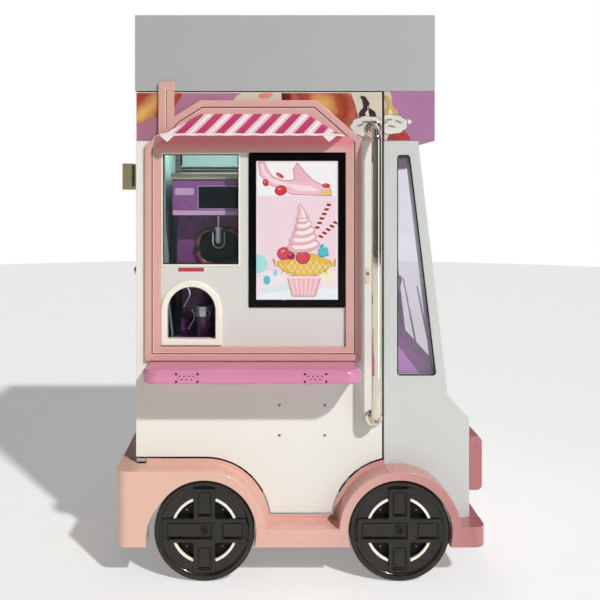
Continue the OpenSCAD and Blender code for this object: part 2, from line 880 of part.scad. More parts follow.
// Its back edge has a shallow rebate along the foot of the house frame
module counter_shelf() color("#cc7aa6") in_frame() {
    rebate_h = 4;
    rebate_gap = 2;
    difference() {
        translate([0, 0, shelf_z0]) linear_extrude(shelf_t) {
            round_rect([shelf_x0, -half_w - shelf_out], [shelf_x1, -half_w], shelf_r);
            rect([shelf_x0, -half_w - shelf_r], [shelf_x1, -half_w]);
        }
        box([shelf_x0 - eps, y_face - rebate_gap, shelf_z1 - rebate_h], [shelf_x1 + eps, 0, shelf_z1 + eps]);
    }
}

module grab_rail() color("silver") in_frame() {
    r = rail_d/2;
    y = -half_w - rail_out;
    flange_t = 10;
    translate([rail_x, y, rail_low + rail_bend])
        cylinder(h = rail_high - rail_low - 2*rail_bend, r = r);
    for (s = [0, 1]) translate([rail_x, 0, s*(rail_low + rail_high)]) mirror([0, 0, s]) {
        translate([0, y + rail_bend, rail_low + rail_bend]) rotate([180, 90, 0])
            rotate_extrude(angle = 90) translate([rail_bend, 0]) circle(r);
        translate([0, -half_w, rail_low]) rotate([90, 0, 0]) cylinder(h = rail_out - rail_bend, r = r);
        translate([0, -half_w, rail_low]) rotate([90, 0, 0]) cylinder(h = flange_t, r = flange_d/2);
    }
}

/* ---- rear door ---- */

module rear_door() color("#c4c6c4") in_frame() {
    box([x_rear, rear_open_y0 + rear_gap, rear_low + rear_gap],
        [x_rear + rear_t, rear_edge_y, rear_high - rear_gap]);
    for (z = [rear_low - pin_l + rear_gap, rear_high - rear_gap - pin_root])
        translate([rear_pivot_x, rear_pivot_y, z]) cylinder(h = pin_l + pin_root, r = pin_r);
}

// Domed knob, turned about its own axis
module rear_knob() color("silver") in_frame() {
    knob_in = 70;
    translate([x_rear, rear_open_y0 + knob_in, knob_z]) rotate([0, -90, 0]) rotate_extrude()
        intersection() {
            translate([0, knob_out - knob_d/2]) circle(knob_d/2);
            square([knob_d, knob_out]);
        }
}

// Pocket with a slot, open at its top and at both ends
module rear_bracket() color("#a08a72") in_frame() {
    back_t = 26;
    chamfer = 24;
    base_t = 14;
    width = 130;
    edge_in = 30;
    x0 = x_rear - bracket_out;
    x_back = x_rear - back_t;
    x_slot = x_back - bracket_slot;
    y = rear_open_y0 + edge_in;
    z1 = bracket_z + bracket_h;
    wall_xz(y, y + width) polygon([
        [x_rear, bracket_z], [x_rear, z1 - chamfer], [x_back, z1],
        [x_back, bracket_z + base_t], [x_slot, bracket_z + base_t], [x_slot, z1],
        [x0, z1], [x0, bracket_z],
    ]);
}

chassis_frame();
floor_panel();
axle_front();
axle_rear();
skirt_right();
skirt_left();
front_bumper();
rear_bumper();
door_frame();
rear_frame();
left_side_panel();
bulkhead();
cab_side_right();
cab_side_left();
cab_glass();
windshield_frame();
nose_panel();
bumper_bar();
headlights();
cab_header();
roof_box();
ceiling();
dashboard();
display_cell();
machine_cabinet();
machine_head();
dispenser_nozzle();
cup_holder();
service_door();
house_frame();
awning();
face_panel();
service_window();
display_screen();
hatch_ring();
counter_shelf();
grab_rail();
rear_door();
rear_knob();
rear_bracket();
wheel_front_right();
wheel_front_left();
wheel_rear_right();
wheel_rear_left();
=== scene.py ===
"""Looks of a soft-serve ice-cream kiosk built in the shape of a small delivery truck.

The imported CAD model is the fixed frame. Each class below dresses one sub-assembly of it: some CAD
nodes keep their shape and get a finish, and the others are replaced by surfaces worked out here.
All lengths are in metres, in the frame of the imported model: +X to the nose, +Y to the left, +Z up.
"""

import functools
import logging
import math
from dataclasses import dataclass, field
from enum import Enum

import bmesh
import bpy
import numpy as np
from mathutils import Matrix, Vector
from mathutils.geometry import tessellate_polygon


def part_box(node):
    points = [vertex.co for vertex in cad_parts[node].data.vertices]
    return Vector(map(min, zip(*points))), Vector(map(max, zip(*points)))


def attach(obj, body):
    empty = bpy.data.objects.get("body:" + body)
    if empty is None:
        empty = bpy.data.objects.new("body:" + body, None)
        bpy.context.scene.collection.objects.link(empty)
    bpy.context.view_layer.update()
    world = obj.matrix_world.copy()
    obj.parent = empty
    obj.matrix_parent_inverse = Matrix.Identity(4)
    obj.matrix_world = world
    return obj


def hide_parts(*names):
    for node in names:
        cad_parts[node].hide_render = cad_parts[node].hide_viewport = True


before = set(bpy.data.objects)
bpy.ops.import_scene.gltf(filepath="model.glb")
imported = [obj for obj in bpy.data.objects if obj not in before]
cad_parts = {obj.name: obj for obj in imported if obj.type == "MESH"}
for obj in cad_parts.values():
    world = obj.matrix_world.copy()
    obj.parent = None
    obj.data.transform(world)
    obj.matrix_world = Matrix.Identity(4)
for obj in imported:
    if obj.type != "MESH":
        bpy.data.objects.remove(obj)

Socket = bpy.types.NodeSocket
Pair = tuple[float, float]

log = logging.getLogger("kiosk")
# Thickness of a printed film, and the step from one film to the next
FILM = 0.0003
# Colour of floor dust, and the height at which there is none left
DUST, DUST_TOP = "#8D8174", 0.42


class Facing(Enum):
    """The way a flat piece looks: its two in-plane axes and its outward axis, right-handed."""

    RIGHT = ((1, 0, 0), (0, 0, 1), (0, -1, 0))
    LEFT = ((-1, 0, 0), (0, 0, 1), (0, 1, 0))
    BACK = ((0, -1, 0), (0, 0, 1), (-1, 0, 0))
    FRONT = ((0, 1, 0), (0, 0, 1), (1, 0, 0))
    UP = ((1, 0, 0), (0, 1, 0), (0, 0, 1))
    DOWN = ((1, 0, 0), (0, -1, 0), (0, 0, -1))

    def local(self, points: np.ndarray) -> np.ndarray:
        """Points of the row frame as (u, v, w), w outwards."""
        return points @ np.array(self.value, float).T

    def world(self, points: np.ndarray) -> np.ndarray:
        """Points (u, v, w) in the row frame."""
        return points @ np.array(self.value, float)


@dataclass(frozen=True)
class Box:
    """Bounds of a CAD node at rest.

    Args:
        low: lowest corner.
        high: highest corner.
    """

    low: tuple[float, ...]
    high: tuple[float, ...]

    @classmethod
    def of(cls, node: str) -> "Box":
        """The box of one CAD node."""
        low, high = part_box(node)
        return cls(tuple(low), tuple(high))

    x0 = property(lambda self: self.low[0])
    y0 = property(lambda self: self.low[1])
    z0 = property(lambda self: self.low[2])
    x1 = property(lambda self: self.high[0])
    y1 = property(lambda self: self.high[1])
    z1 = property(lambda self: self.high[2])

    @property
    def centre(self) -> np.ndarray:
        """Middle of the box."""
        return (np.array(self.low) + np.array(self.high)) / 2

    @property
    def size(self) -> np.ndarray:
        """Lengths of the box's sides."""
        return np.array(self.high) - np.array(self.low)


# ---------------------------------------------------------------------------------------------
# Finishes


def linear(colour: str) -> tuple[float, float, float, float]:
    """A hex colour as linear RGBA, by the sRGB curve."""
    c = np.array([int(colour[i : i + 2], 16) for i in (1, 3, 5)]) / 255
    c = np.where(c <= 0.04045, c / 12.92, ((c + 0.055) / 1.055) ** 2.4)
    return (*map(float, c), 1.0)


class Graph:
    """A node tree, with a short call for each kind of node that the finishes and the sky use."""

    def __init__(self, owner: bpy.types.ID, place: str = "Object") -> None:
        """Empties the owner's node tree.

        Args:
            owner: the material or world.
            place: the texture coordinates that its patterns follow.
        """
        owner.use_nodes = True
        self.owner, self.tree = owner, owner.node_tree
        self.tree.nodes.clear()
        self.place = self.node("ShaderNodeTexCoord").outputs[place]

    def node(self, kind: str, inputs: dict | None = None, **settings: object) -> bpy.types.Node:
        """Adds a node.

        Args:
            kind: Blender's name of the node.
            inputs: value or output socket for each input, by name or number.
            settings: the node's own settings.

        Returns:
            The new node.
        """
        made = self.tree.nodes.new(kind)
        for key, value in settings.items():
            setattr(made, key, value)
        for key, value in (inputs or {}).items():
            if isinstance(value, Socket):
                self.tree.links.new(value, made.inputs[key])
            else:
                made.inputs[key].default_value = value
        return made

    def noise(
        self, scale: float, stretch: tuple[float, float, float] = (1, 1, 1), detail: float = 3
    ) -> Socket:
        """Fractal noise on the object's own coordinates, from 0 to 1."""
        place = self.node("ShaderNodeMapping", {"Vector": self.place, "Scale": stretch}).outputs[0]
        return self.node(
            "ShaderNodeTexNoise", {"Vector": place, "Scale": scale, "Detail": detail}
        ).outputs["Fac"]

    def math(self, operation: str, a: object, b: object = 0.0, clamp: bool = False) -> Socket:
        """One arithmetic step."""
        made = self.node("ShaderNodeMath", {0: a, 1: b}, operation=operation, use_clamp=clamp)
        return made.outputs[0]

    def spread(self, value: object, low: float, high: float, to_low: float, to_high: float) -> Socket:
        """Maps a range onto another one, held at its ends."""
        inputs = {"Value": value, 1: low, 2: high, 3: to_low, 4: to_high}
        return self.node("ShaderNodeMapRange", inputs).outputs[0]

    def mix(self, share: object, a: object, b: object) -> Socket:
        """Colour a at share 0 and b at share 1."""
        return self.node("ShaderNodeMix", {0: share, 6: a, 7: b}, data_type="RGBA").outputs[2]

    def ramp(self, share: object, stops: list[tuple[float, tuple]]) -> Socket:
        """A ramp through (position, colour) stops, of which the first is at 0 and the last at 1."""
        made = self.node("ShaderNodeValToRGB", {0: share})
        elements = made.color_ramp.elements
        elements[0].color, elements[1].color = stops[0][1], stops[-1][1]
        for at, colour in stops[1:-1]:
            elements.new(at).color = colour
        return made.outputs[0]

    def axis(self, name: str) -> Socket:
        """One of the object's own coordinates, X, Y or Z."""
        return self.node("ShaderNodeSeparateXYZ", {0: self.place}).outputs[name]

    def bump(self, height: object, strength: float, distance: float = 0.001) -> Socket:
        """Shading normals tilted by a height."""
        inputs = {"Height": height, "Strength": strength, "Distance": distance}
        return self.node("ShaderNodeBump", inputs).outputs[0]

    def finish(self, inputs: dict) -> bpy.types.Material:
        """Closes the tree with a surface shader that has these inputs."""
        shader = self.node("ShaderNodeBsdfPrincipled", inputs)
        self.node("ShaderNodeOutputMaterial", {"Surface": shader.outputs[0]})
        return self.owner


@dataclass(frozen=True)
class Finish:
    """A painted, moulded or printed surface.

    Args:
        name: the material's name.
        slot: name of the material slot that it belongs to.
        colour: main colour in hex.
        roughness: how matt it is.
        metallic: 1 for bare metal.
        coat: weight of a clear coat.
        patch: how much lighter or darker its broad patches are, and their number in a metre.
        grain: strength of its fine relief, and grains in a metre.
        stretch: scale of the grain along each axis, for brushed metal.
        scuff: how far rubbed places change the roughness.
        dust: share of floor dust at the lowest edge.
        painted_light_fade: painted light: colours at the rear and at the front end of the kiosk, standing
            in for warmer light at the rear and cooler, dimmer light at the front, or nothing.
        glow: strength of its own light.
        lit: share of its colour that answers to outside light.
        shine: level of its mirror-like reflection.
        alpha: 1 for a solid surface.
    """

    name: str
    slot: str
    colour: str
    roughness: float = 0.32
    metallic: float = 0.0
    coat: float = 0.0
    patch: Pair = (0.05, 3.0)
    grain: Pair = (0.05, 220.0)
    stretch: tuple[float, float, float] = (1.0, 1.0, 1.0)
    scuff: float = 0.08
    dust: float = 0.0
    # Painted light: a colour change from rear to front that stands in for the surroundings' light
    painted_light_fade: tuple[str, ...] = ()
    glow: float = 0.0
    lit: float = 1.0
    shine: float = 0.5
    alpha: float = 1.0

    def base(self, g: Graph) -> Socket:
        """Colour before patches and dust, with the painted light along the length if there is any."""
        if not self.painted_light_fade:
            return g.mix(0.0, linear(self.colour), linear(self.colour))
        rear = g.spread(g.axis("X"), -0.6, 0.05, 0.0, 1.0)
        front = g.spread(g.axis("X"), 0.05, 0.7, 0.0, 1.0)
        return g.mix(front, g.mix(rear, linear(self.painted_light_fade[0]), linear(self.colour)), linear(self.painted_light_fade[1]))

    def height(self, g: Graph) -> Socket:
        """Fine relief."""
        return g.noise(self.grain[1], self.stretch)

    @functools.cache
    def material(self) -> bpy.types.Material:
        """The node material, made once."""
        g = Graph(bpy.data.materials.new(self.name))
        depth, scale = self.patch
        shade = g.spread(g.noise(scale, detail=4), 0.3, 0.7, 1 - depth, 1 + depth * 0.5)
        base = self.base(g)
        colour = g.node("ShaderNodeVectorMath", {0: base, 3: shade}, operation="SCALE").outputs[0]
        if self.dust:
            low = g.spread(g.axis("Z"), 0.0, DUST_TOP, self.dust, 0.0)
            share = g.math(
                "MULTIPLY", low, g.spread(g.noise(26, detail=6), 0.35, 0.7, 0.1, 1.0), clamp=True
            )
            colour = g.mix(share, colour, linear(DUST))
        rubbed = g.spread(g.noise(scale * 4, detail=6), 0.35, 0.7, -self.scuff, self.scuff)
        answer = g.node("ShaderNodeVectorMath", {0: colour, 3: self.lit}, operation="SCALE").outputs[0]
        inputs = {
            "Base Color": answer,
            "Specular IOR Level": self.shine,
            "Metallic": self.metallic,
            "Roughness": g.math("ADD", rubbed, self.roughness, clamp=True),
            "Coat Weight": self.coat,
            "Coat Roughness": 0.06,
            "Alpha": self.alpha,
            "Normal": g.bump(self.height(g), self.grain[0]),
        }
        if self.glow:
            inputs |= {"Emission Color": colour, "Emission Strength": self.glow}
        return g.finish(inputs)


@dataclass(frozen=True)
class Striped(Finish):
    """Awning cloth with slanting stripes and a satin line beside each of them.

    Args:
        stripe: colour of the dark stripes.
        line: colour of the thin lines.
        period: distance from one stripe to the next.
        slant: how far a stripe moves to the front per unit of height.
        share: share of the period that a dark stripe takes.
        phase: place of the first stripe, in periods.
        rose: colour of the cloth just before a dark stripe.
    """

    stripe: str = "#C03868"
    line: str = "#FBF2F2"
    period: float = 0.0755
    slant: float = 0.92
    share: float = 0.47
    phase: float = 40.12
    rose: str = "#D68FA6"

    def base(self, g: Graph) -> Socket:
        """Stripes by the fraction of (x - slant * z) / period."""
        lean = g.math("MULTIPLY", g.axis("Z"), self.slant)
        place = g.math("DIVIDE", g.math("SUBTRACT", g.axis("X"), lean), self.period)
        turn = g.math("FRACT", g.math("ADD", place, self.phase))
        dark = g.math("LESS_THAN", turn, self.share)
        middle = (1 + self.share) / 2
        off = g.math("ABSOLUTE", g.math("SUBTRACT", turn, middle))
        pale = g.mix(g.spread(off, 0.02, 0.09, 1.0, 0.0), linear(self.colour), linear(self.line))
        rosy = g.spread(turn, 0.86, 1.0, 0.0, 0.75)
        pale = g.mix(rosy, pale, linear(self.rose))
        return g.mix(dark, pale, linear(self.stripe))

    def height(self, g: Graph) -> Socket:
        """Weave: the product of two fine waves."""
        waves = [
            g.node(
                "ShaderNodeTexWave", {"Vector": g.place, "Scale": 260.0}, bands_direction=d
            ).outputs["Fac"]
            for d in ("X", "Z")
        ]
        return g.math("MULTIPLY", *waves)


@dataclass(frozen=True)
class Waffle(Finish):
    """Printed waffle: a grid of darker lines turned by 45 degrees.

    Args:
        groove: colour of the lines.
        pitch: lines in a metre.
    """

    groove: str = "#C98A34"
    pitch: float = 62.0

    def base(self, g: Graph) -> Socket:
        """Dark where x + z or x - z is close to a whole number of pitches."""
        lines = []
        for operation in ("ADD", "SUBTRACT"):
            turn = g.math(
                "FRACT", g.math("MULTIPLY", g.math(operation, g.axis("X"), g.axis("Z")), self.pitch)
            )
            lines.append(g.math("LESS_THAN", turn, 0.2))
        return g.mix(g.math("MAXIMUM", *lines), linear(self.colour), linear(self.groove))


@dataclass(frozen=True)
class Slice(Finish):
    """Printed slice of a berry: a golden heart, red flesh with rays, and a dark skin.

    Args:
        at: middle of the slice, as X and Z.
        turn: direction of its long axis in degrees from X.
        reach: half length and half width.
        flesh: colours from the heart to the skin.
    """

    at: Pair = (0.0, 0.0)
    turn: float = 0.0
    reach: Pair = (0.15, 0.1)
    flesh: tuple[str, ...] = ("#D9AE62", "#C98A55", "#AC4A32", "#9A3423", "#B4604A", "#741A10", "#561109")

    def base(self, g: Graph) -> Socket:
        """Ramp over sqrt((a / length)^2 + (b / width)^2), the distance from the heart, with streaks."""
        c, s = math.cos(math.radians(self.turn)), math.sin(math.radians(self.turn))
        x, z = g.math("SUBTRACT", g.axis("X"), self.at[0]), g.math("SUBTRACT", g.axis("Z"), self.at[1])
        a = g.math(
            "ADD", g.math("MULTIPLY", x, c / self.reach[0]), g.math("MULTIPLY", z, s / self.reach[0])
        )
        b = g.math(
            "SUBTRACT", g.math("MULTIPLY", z, c / self.reach[1]), g.math("MULTIPLY", x, s / self.reach[1])
        )
        far = g.math("SQRT", g.math("ADD", g.math("MULTIPLY", a, a), g.math("MULTIPLY", b, b)))
        rays = g.math("SINE", g.math("MULTIPLY", g.math("ARCTAN2", b, a), 17.0))
        far = g.math("ADD", far, g.math("MULTIPLY", rays, 0.012))
        far = g.math("ADD", far, g.math("MULTIPLY", g.math("SUBTRACT", g.noise(14), 0.5), 0.5))
        stops = zip((0.0, 0.22, 0.38, 0.60, 0.76, 0.86, 1.0), self.flesh)
        return g.ramp(far, [(at, linear(colour)) for at, colour in stops])


@dataclass(frozen=True)
class PaintedBounce(Finish):
    """Painted light: a paint that turns redder towards its upper edge, standing in for red light bounced
    off the awning above it.

    Args:
        bounce_colour: colour of the painted red bounce light at the upper edge.
        rise: heights at which it starts and is full.
    """

    bounce_colour: str = "#DF8489"
    rise: Pair = (1.640, 1.668)

    def base(self, g: Graph) -> Socket:
        """The paint's own colour, mixed by height with the painted bounce light."""
        share = g.spread(g.axis("Z"), *self.rise, 0.0, 1.0)
        return g.mix(share, super().base(g), linear(self.bounce_colour))


# What the white panels, the pink frame and the printed slices have in common
PANEL = {"roughness": 0.36, "coat": 0.15, "grain": (0.02, 90.0), "shine": 0.35}
FRAME = {
    "colour": "#D8A49F", "coat": 0.25, "patch": (0.02, 2.6), "grain": (0.02, 220.0), "scuff": 0.03,
    "painted_light_fade": ("#D9A79A", "#D4A4A4"),
}
SLICE = {"slot": "sign_orchid", "colour": "#A93A2C", "roughness": 0.4, "patch": (0.15, 22.0), "shine": 0.35}

WHITE = Finish(
    "body white", "body_paint", "#E4E3DB", **PANEL, patch=(0.012, 1.6), scuff=0.02, dust=0.02,
    painted_light_fade=("#E7E5DB", "#DADBD5"),
)
CAB = Finish("cab white", "cab_paint", "#C8CBC8", **PANEL, patch=(0.012, 1.6), scuff=0.02, dust=0.02)
# The face's white is greyer than the door's: painted shade, as the recessed face gets less light
FACE_SHADED = Finish("face white painted shade", "face_white", "#D5D4CE", **PANEL, patch=(0.012, 2.0), scuff=0.03)
ROOF = Finish(
    "roof grey", "roof_paint", "#AEAFAE", 0.45, patch=(0.015, 1.2), grain=(0.04, 120.0), scuff=0.03,
    shine=0.3, painted_light_fade=("#ACACAB", "#AEB2B2"),
)
# The skirt's rear and front colours are painted light: warm at the rear, darker mauve at the front
SKIRT = Finish(
    "skirt gelcoat", "skirt_paint", "#DAAA9F", 0.28, coat=0.35, patch=(0.015, 2.2), grain=(0.02, 60.0),
    scuff=0.02, dust=0.02, painted_light_fade=("#DFB5A0", "#AC6A6D"),
)
PINK = Finish("frame pink", "frame_pink", **FRAME)
# Painted shade for the floor of the frame's groove, and a painted highlight for its edge
GROOVE_SHADE = Finish("groove painted shade", "frame_pink", "#6A4440", 0.6, patch=(0.12, 30.0))
GROOVE_HIGHLIGHT = Finish("groove painted highlight", "frame_pink", "#F3DFD8", 0.4, patch=(0.06, 20.0))
AWNING = Striped(
    "awning cloth", "awning_cloth", "#E0C6CB", 0.6, patch=(0.04, 12.0), grain=(0.25, 220.0),
    stripe="#B72A60", line="#F4E9E9",
)
AWNING_RIM = Finish("awning rim", "awning_cloth", "#F3E2E2", 0.55, patch=(0.08, 14.0), grain=(0.2, 500.0))
# Painted light: the frame band under the awning turns redder at the top, as if lit by red light bounced off
# the awning
HEADER_BOUNCE = PaintedBounce("frame header painted bounce", "frame_pink", **FRAME)
ORCHID = Finish(
    "counter orchid", "counter_orchid", "#CF80A4", 0.24, coat=0.4, patch=(0.02, 3.0), grain=(0.02, 80.0),
    scuff=0.03, painted_light_fade=("#D284A4", "#C77CA8"),
)
BAND = Finish(
    "band orchid", "sign_orchid", "#AE7898", 0.4, patch=(0.05, 4.0), grain=(0.03, 220.0), shine=0.35,
    painted_light_fade=("#A87088", "#A9749E"),
)
BAND_CREAM = Finish(
    "band cream", "sign_orchid", "#CFC4B2", 0.4, patch=(0.08, 9.0), grain=(0.03, 220.0), shine=0.35
)
BAND_WHITE = Finish(
    "band white", "sign_orchid", "#DCD8D0", 0.4, patch=(0.1, 30.0), grain=(0.03, 220.0), shine=0.35
)
BERRY = Finish("berry red", "sign_orchid", "#A93A2C", 0.35, patch=(0.3, 22.0), grain=(0.04, 220.0))
BERRY_PALE = Finish("berry flesh", "sign_orchid", "#DB8B74", 0.38, patch=(0.25, 25.0), grain=(0.04, 220.0))
BAND_CONE = Waffle(
    "band waffle", "sign_orchid", "#C99A5A", 0.4, patch=(0.12, 20.0), groove="#8E5B26", pitch=70.0
)
BAND_EDGE = Finish("band outline", "sign_orchid", "#8C8580", 0.4, patch=(0.2, 30.0), shine=0.35)
CHOCOLATE = Finish("band chocolate", "sign_orchid", "#3A211C", 0.35, patch=(0.2, 30.0))
HONEY = Finish("band honey", "sign_orchid", "#C9A95C", 0.4, patch=(0.15, 30.0))
BLACK = Finish(
    "wheel black", "wheel_black", "#1B1813", 0.2, coat=0.3, patch=(0.12, 9.0), grain=(0.03, 130.0),
    scuff=0.05, dust=0.04, shine=0.3,
)
# Blacker than the wheel's own black: painted shade on the floor of its recess
BLACK_RECESS_SHADE = Finish(
    "wheel recess painted shade", "wheel_black", "#0C0B0A", 0.4, patch=(0.2, 12.0), grain=(0.06, 220.0), dust=0.04,
    shine=0.2,
)
CREAM_ARC = Finish(
    "wheel cream", "wheel_black", "#F2EEDF", 0.4, patch=(0.08, 25.0), grain=(0.05, 220.0), dust=0.14
)
STEEL_DARK = Finish(
    "chassis steel", "frame_steel", "#4A4C4E", 0.5, metallic=0.6, patch=(0.25, 9.0), grain=(0.2, 300.0),
    dust=0.5,
)
JAMB = Finish(
    "jamb grey", "jamb_grey", "#B9BCBA", 0.4, metallic=0.2, patch=(0.06, 5.0), grain=(0.06, 220.0)
)
TEAL = Finish(
    "lining teal", "lining_teal", "#A9C4C2", 0.45, patch=(0.05, 4.0), grain=(0.04, 220.0), shine=0.3
)
FLOOR_GREY = Finish("floor grey", "floor_grey", "#7E8182", 0.6, patch=(0.15, 14.0), grain=(0.3, 180.0))
PURPLE = Finish(
    "machine purple", "machine_purple", "#8A5392", 0.3, coat=0.2, patch=(0.06, 5.0), grain=(0.03, 220.0)
)
PLUM = Finish(
    "machine plum", "machine_plum", "#7A3F7C", 0.3, coat=0.2, patch=(0.1, 6.0), grain=(0.03, 220.0)
)
LILAC = Finish("inset border", "machine_purple", "#C9A3CE", 0.35, patch=(0.1, 3.0))
OLIVE = Finish("olive cap", "machine_purple", "#A9A893", 0.45, patch=(0.12, 8.0))
CHAMBER = Finish("chamber rim", "machine_plum", "#8C3B52", 0.25, coat=0.3, patch=(0.15, 12.0))
DASH = Finish("dash purple", "dash_purple", "#6A1D62", 0.4, patch=(0.06, 6.0), grain=(0.1, 400.0))
DASH_LIGHT = Finish("dash orchid", "dash_purple", "#B872BE", 0.4, patch=(0.04, 6.0), grain=(0.1, 400.0))
DASH_DARK = Finish("dash plum", "dash_purple", "#4C0E42", 0.4, patch=(0.06, 6.0), grain=(0.1, 400.0))
CHROME = Finish(
    "rail chrome", "bright_steel", "#E9E1D2", 0.07, metallic=1.0, patch=(0.04, 20.0), grain=(0.01, 60.0),
    scuff=0.03,
)
STEEL = Finish(
    "brushed steel", "bright_steel", "#BFC0BF", 0.3, metallic=1.0, patch=(0.08, 8.0), grain=(0.1, 300.0),
    stretch=(1.0, 1.0, 0.06),
)
TUBE = Finish("feed tube", "bright_steel", "#E6E6EA", 0.4, patch=(0.05, 3.0))
SCREW = Finish("screw steel", "bright_steel", "#8E8E8A", 0.35, metallic=1.0, patch=(0.2, 90.0))
# Bracket and knob colours are lighter than their own tone: painted light, as the body's shadow keeps the
# key light off them
BRONZE_LIT = Finish(
    "bracket bronze painted light", "bronze", "#D3C89C", 0.35, metallic=0.3, patch=(0.04, 14.0), grain=(0.04, 260.0),
    scuff=0.03,
)
BRASS_LIT = Finish(
    "knob brass painted light", "bronze", "#D6BF8C", 0.1, metallic=1.0, patch=(0.06, 20.0), grain=(0.02, 60.0), scuff=0.05
)
HATCH = Finish(
    "hatch cream", "hatch_cream", "#F0EADC", 0.34, coat=0.2, patch=(0.03, 5.0), grain=(0.04, 220.0)
)
GLOSS = Finish(
    "display black", "display_black", "#070607", 0.12, patch=(0.2, 3.0), grain=(0.01, 220.0), scuff=0.03,
    shine=0.12,
)
RUBBER = Finish(
    "gasket rubber", "display_black", "#0E0D0D", 0.6, patch=(0.2, 40.0), grain=(0.1, 500.0), shine=0.2
)
# Black for the chamber's lugs, and painted shade: black discs drawn where holes would be dark inside
BLACK_AND_HOLE_SHADE = Finish("black and painted hole shade", "display_black", "#070607", 0.8, patch=(0.2, 40.0))
GLASS = Finish(
    "window glass", "window_glass", "#5E7070", 0.04, patch=(0.02, 3.0), grain=(0.005, 8.0), scuff=0.02,
    shine=0.2, alpha=0.06,
)
TINT = Finish(
    "cab glass", "cab_tint", "#C9BBD8", 0.06, patch=(0.04, 3.0), grain=(0.005, 8.0), scuff=0.02, shine=0.25,
    alpha=0.15,
)
LENS = Finish(
    "lamp lens", "lamp_lens", "#F1EEDF", 0.12, coat=0.6, patch=(0.04, 30.0), grain=(0.3, 140.0),
    stretch=(1.0, 1.0, 0.05),
)
PLATE_RED = Finish("blank red strip", "face_white", "#B73B41", 0.4, patch=(0.08, 40.0))
PLATE_BEIGE = Finish("lock plate", "body_paint", "#D9CDB4", 0.4, patch=(0.06, 30.0), grain=(0.1, 220.0))

GROUND = Finish(
    "studio floor", "skirt_paint", "#E2E2E1", 0.8, patch=(0.01, 3.0), grain=(0.02, 220.0), glow=0.36,
    shine=0.1,
)


@functools.cache
def screen_ink(colour: str) -> Finish:
    """A colour on the lit display."""
    return Finish(
        "screen " + colour[1:], "display_black", colour, 0.35, patch=(0.03, 14.0), grain=(0.01, 220.0),
        glow=0.7, lit=0.25, shine=0.1,
    )


# ---------------------------------------------------------------------------------------------
# Outlines, all of them arrays of (u, v) points


def simplify(loop: np.ndarray) -> np.ndarray:
    """A closed outline without double points and without points on a straight line.

    The cross product of the steps into and out of a point is zero on a straight line.
    """
    step = np.roll(loop, -1, 0) - loop
    loop = loop[np.hypot(*step.T) > 1e-6]
    before, after = loop - np.roll(loop, 1, 0), np.roll(loop, -1, 0) - loop
    cross = before[:, 0] * after[:, 1] - before[:, 1] * after[:, 0]
    size = np.hypot(*before.T) * np.hypot(*after.T)
    return loop[np.abs(cross) > 2e-4 * size]


def area(loop: np.ndarray) -> float:
    """Signed area, positive if counter-clockwise: half the sum of the cross products."""
    after = np.roll(loop, -1, 0)
    return float((loop[:, 0] * after[:, 1] - loop[:, 1] * after[:, 0]).sum() / 2)


def inset(loop: np.ndarray, by: float) -> np.ndarray:
    """A closed outline moved to the left of its own direction.

    Each point moves by (n1 + n2) / (1 + n1 . n2), where n1 and n2 are the left normals of its two
    sides, so that both sides move by the same amount.
    """
    step = np.roll(loop, -1, 0) - loop
    step /= np.hypot(*step.T)[:, None]
    after = np.stack([-step[:, 1], step[:, 0]], 1)
    before = np.roll(after, 1, 0)
    return loop + by * (before + after) / (1 + (before * after).sum(1))[:, None]


def fillet(corners: object, radii: object, steps: int = 6) -> np.ndarray:
    """A closed outline whose corners are arcs.

    Each arc's centre lies on the corner's bisector at radius / sin(half angle), and its points turn
    from one tangent point to the other by spherical interpolation.

    Args:
        corners: the corner points, counter-clockwise.
        radii: one radius, or one for each corner.
        steps: steps of each arc.

    Returns:
        The points of the outline.
    """
    p = np.array(corners, float)
    r = np.maximum(np.broadcast_to(np.array(radii, float), len(p)), 1e-6)[:, None]
    a, b = np.roll(p, 1, 0) - p, np.roll(p, -1, 0) - p
    a, b = a / np.hypot(*a.T)[:, None], b / np.hypot(*b.T)[:, None]
    half = np.arccos(np.clip((a * b).sum(1), -1, 1))[:, None] / 2
    middle = p + (a + b) / np.hypot(*(a + b).T)[:, None] * r / np.sin(half)
    start, end = p + a * r / np.tan(half) - middle, p + b * r / np.tan(half) - middle
    turn = (math.pi - 2 * half)[:, :, None]
    k = np.linspace(0, 1, steps + 1)[None, :, None]
    arc = (np.sin((1 - k) * turn) * start[:, None] + np.sin(k * turn) * end[:, None]) / np.sin(turn)
    return (middle[:, None] + arc).reshape(-1, 2)


def rect(u0: float, v0: float, u1: float, v1: float, radius: float = 0.0, steps: int = 6) -> np.ndarray:
    """A rectangle, with round corners if it has a radius."""
    corners = np.array([[u0, v0], [u1, v0], [u1, v1], [u0, v1]], float)
    return fillet(corners, radius, steps) if radius else corners


def ellipse(u: float, v: float, a: float, b: float = 0.0, turn: float = 0.0, count: int = 48) -> np.ndarray:
    """An ellipse of half axes a and b, turned by an angle in degrees."""
    t = np.arange(count) * 2 * math.pi / count
    return turned(np.stack([a * np.cos(t), (b or a) * np.sin(t)], 1), turn) + [u, v]


def turned(points: np.ndarray, degrees: float) -> np.ndarray:
    """Points turned about the origin."""
    c, s = math.cos(math.radians(degrees)), math.sin(math.radians(degrees))
    return points @ np.array([[c, s], [-s, c]])


def sector(
    u: float, v: float, r0: float, r1: float, start: float, end: float, steps: int = 20
) -> np.ndarray:
    """A band between two circles, from one angle to another in degrees."""
    t = np.radians(np.linspace(start, end, steps + 1))
    ring = np.stack([np.cos(t), np.sin(t)], 1)
    return np.concatenate([ring * r1, ring[::-1] * r0]) + [u, v]


def arc_points(centre: Pair, radius: float, start: float, end: float, steps: int) -> np.ndarray:
    """Points of an arc, from one angle to another in degrees."""
    t = np.radians(np.linspace(start, end, steps + 1))
    return np.stack([centre[0] + radius * np.cos(t), centre[1] + radius * np.sin(t)], 1)


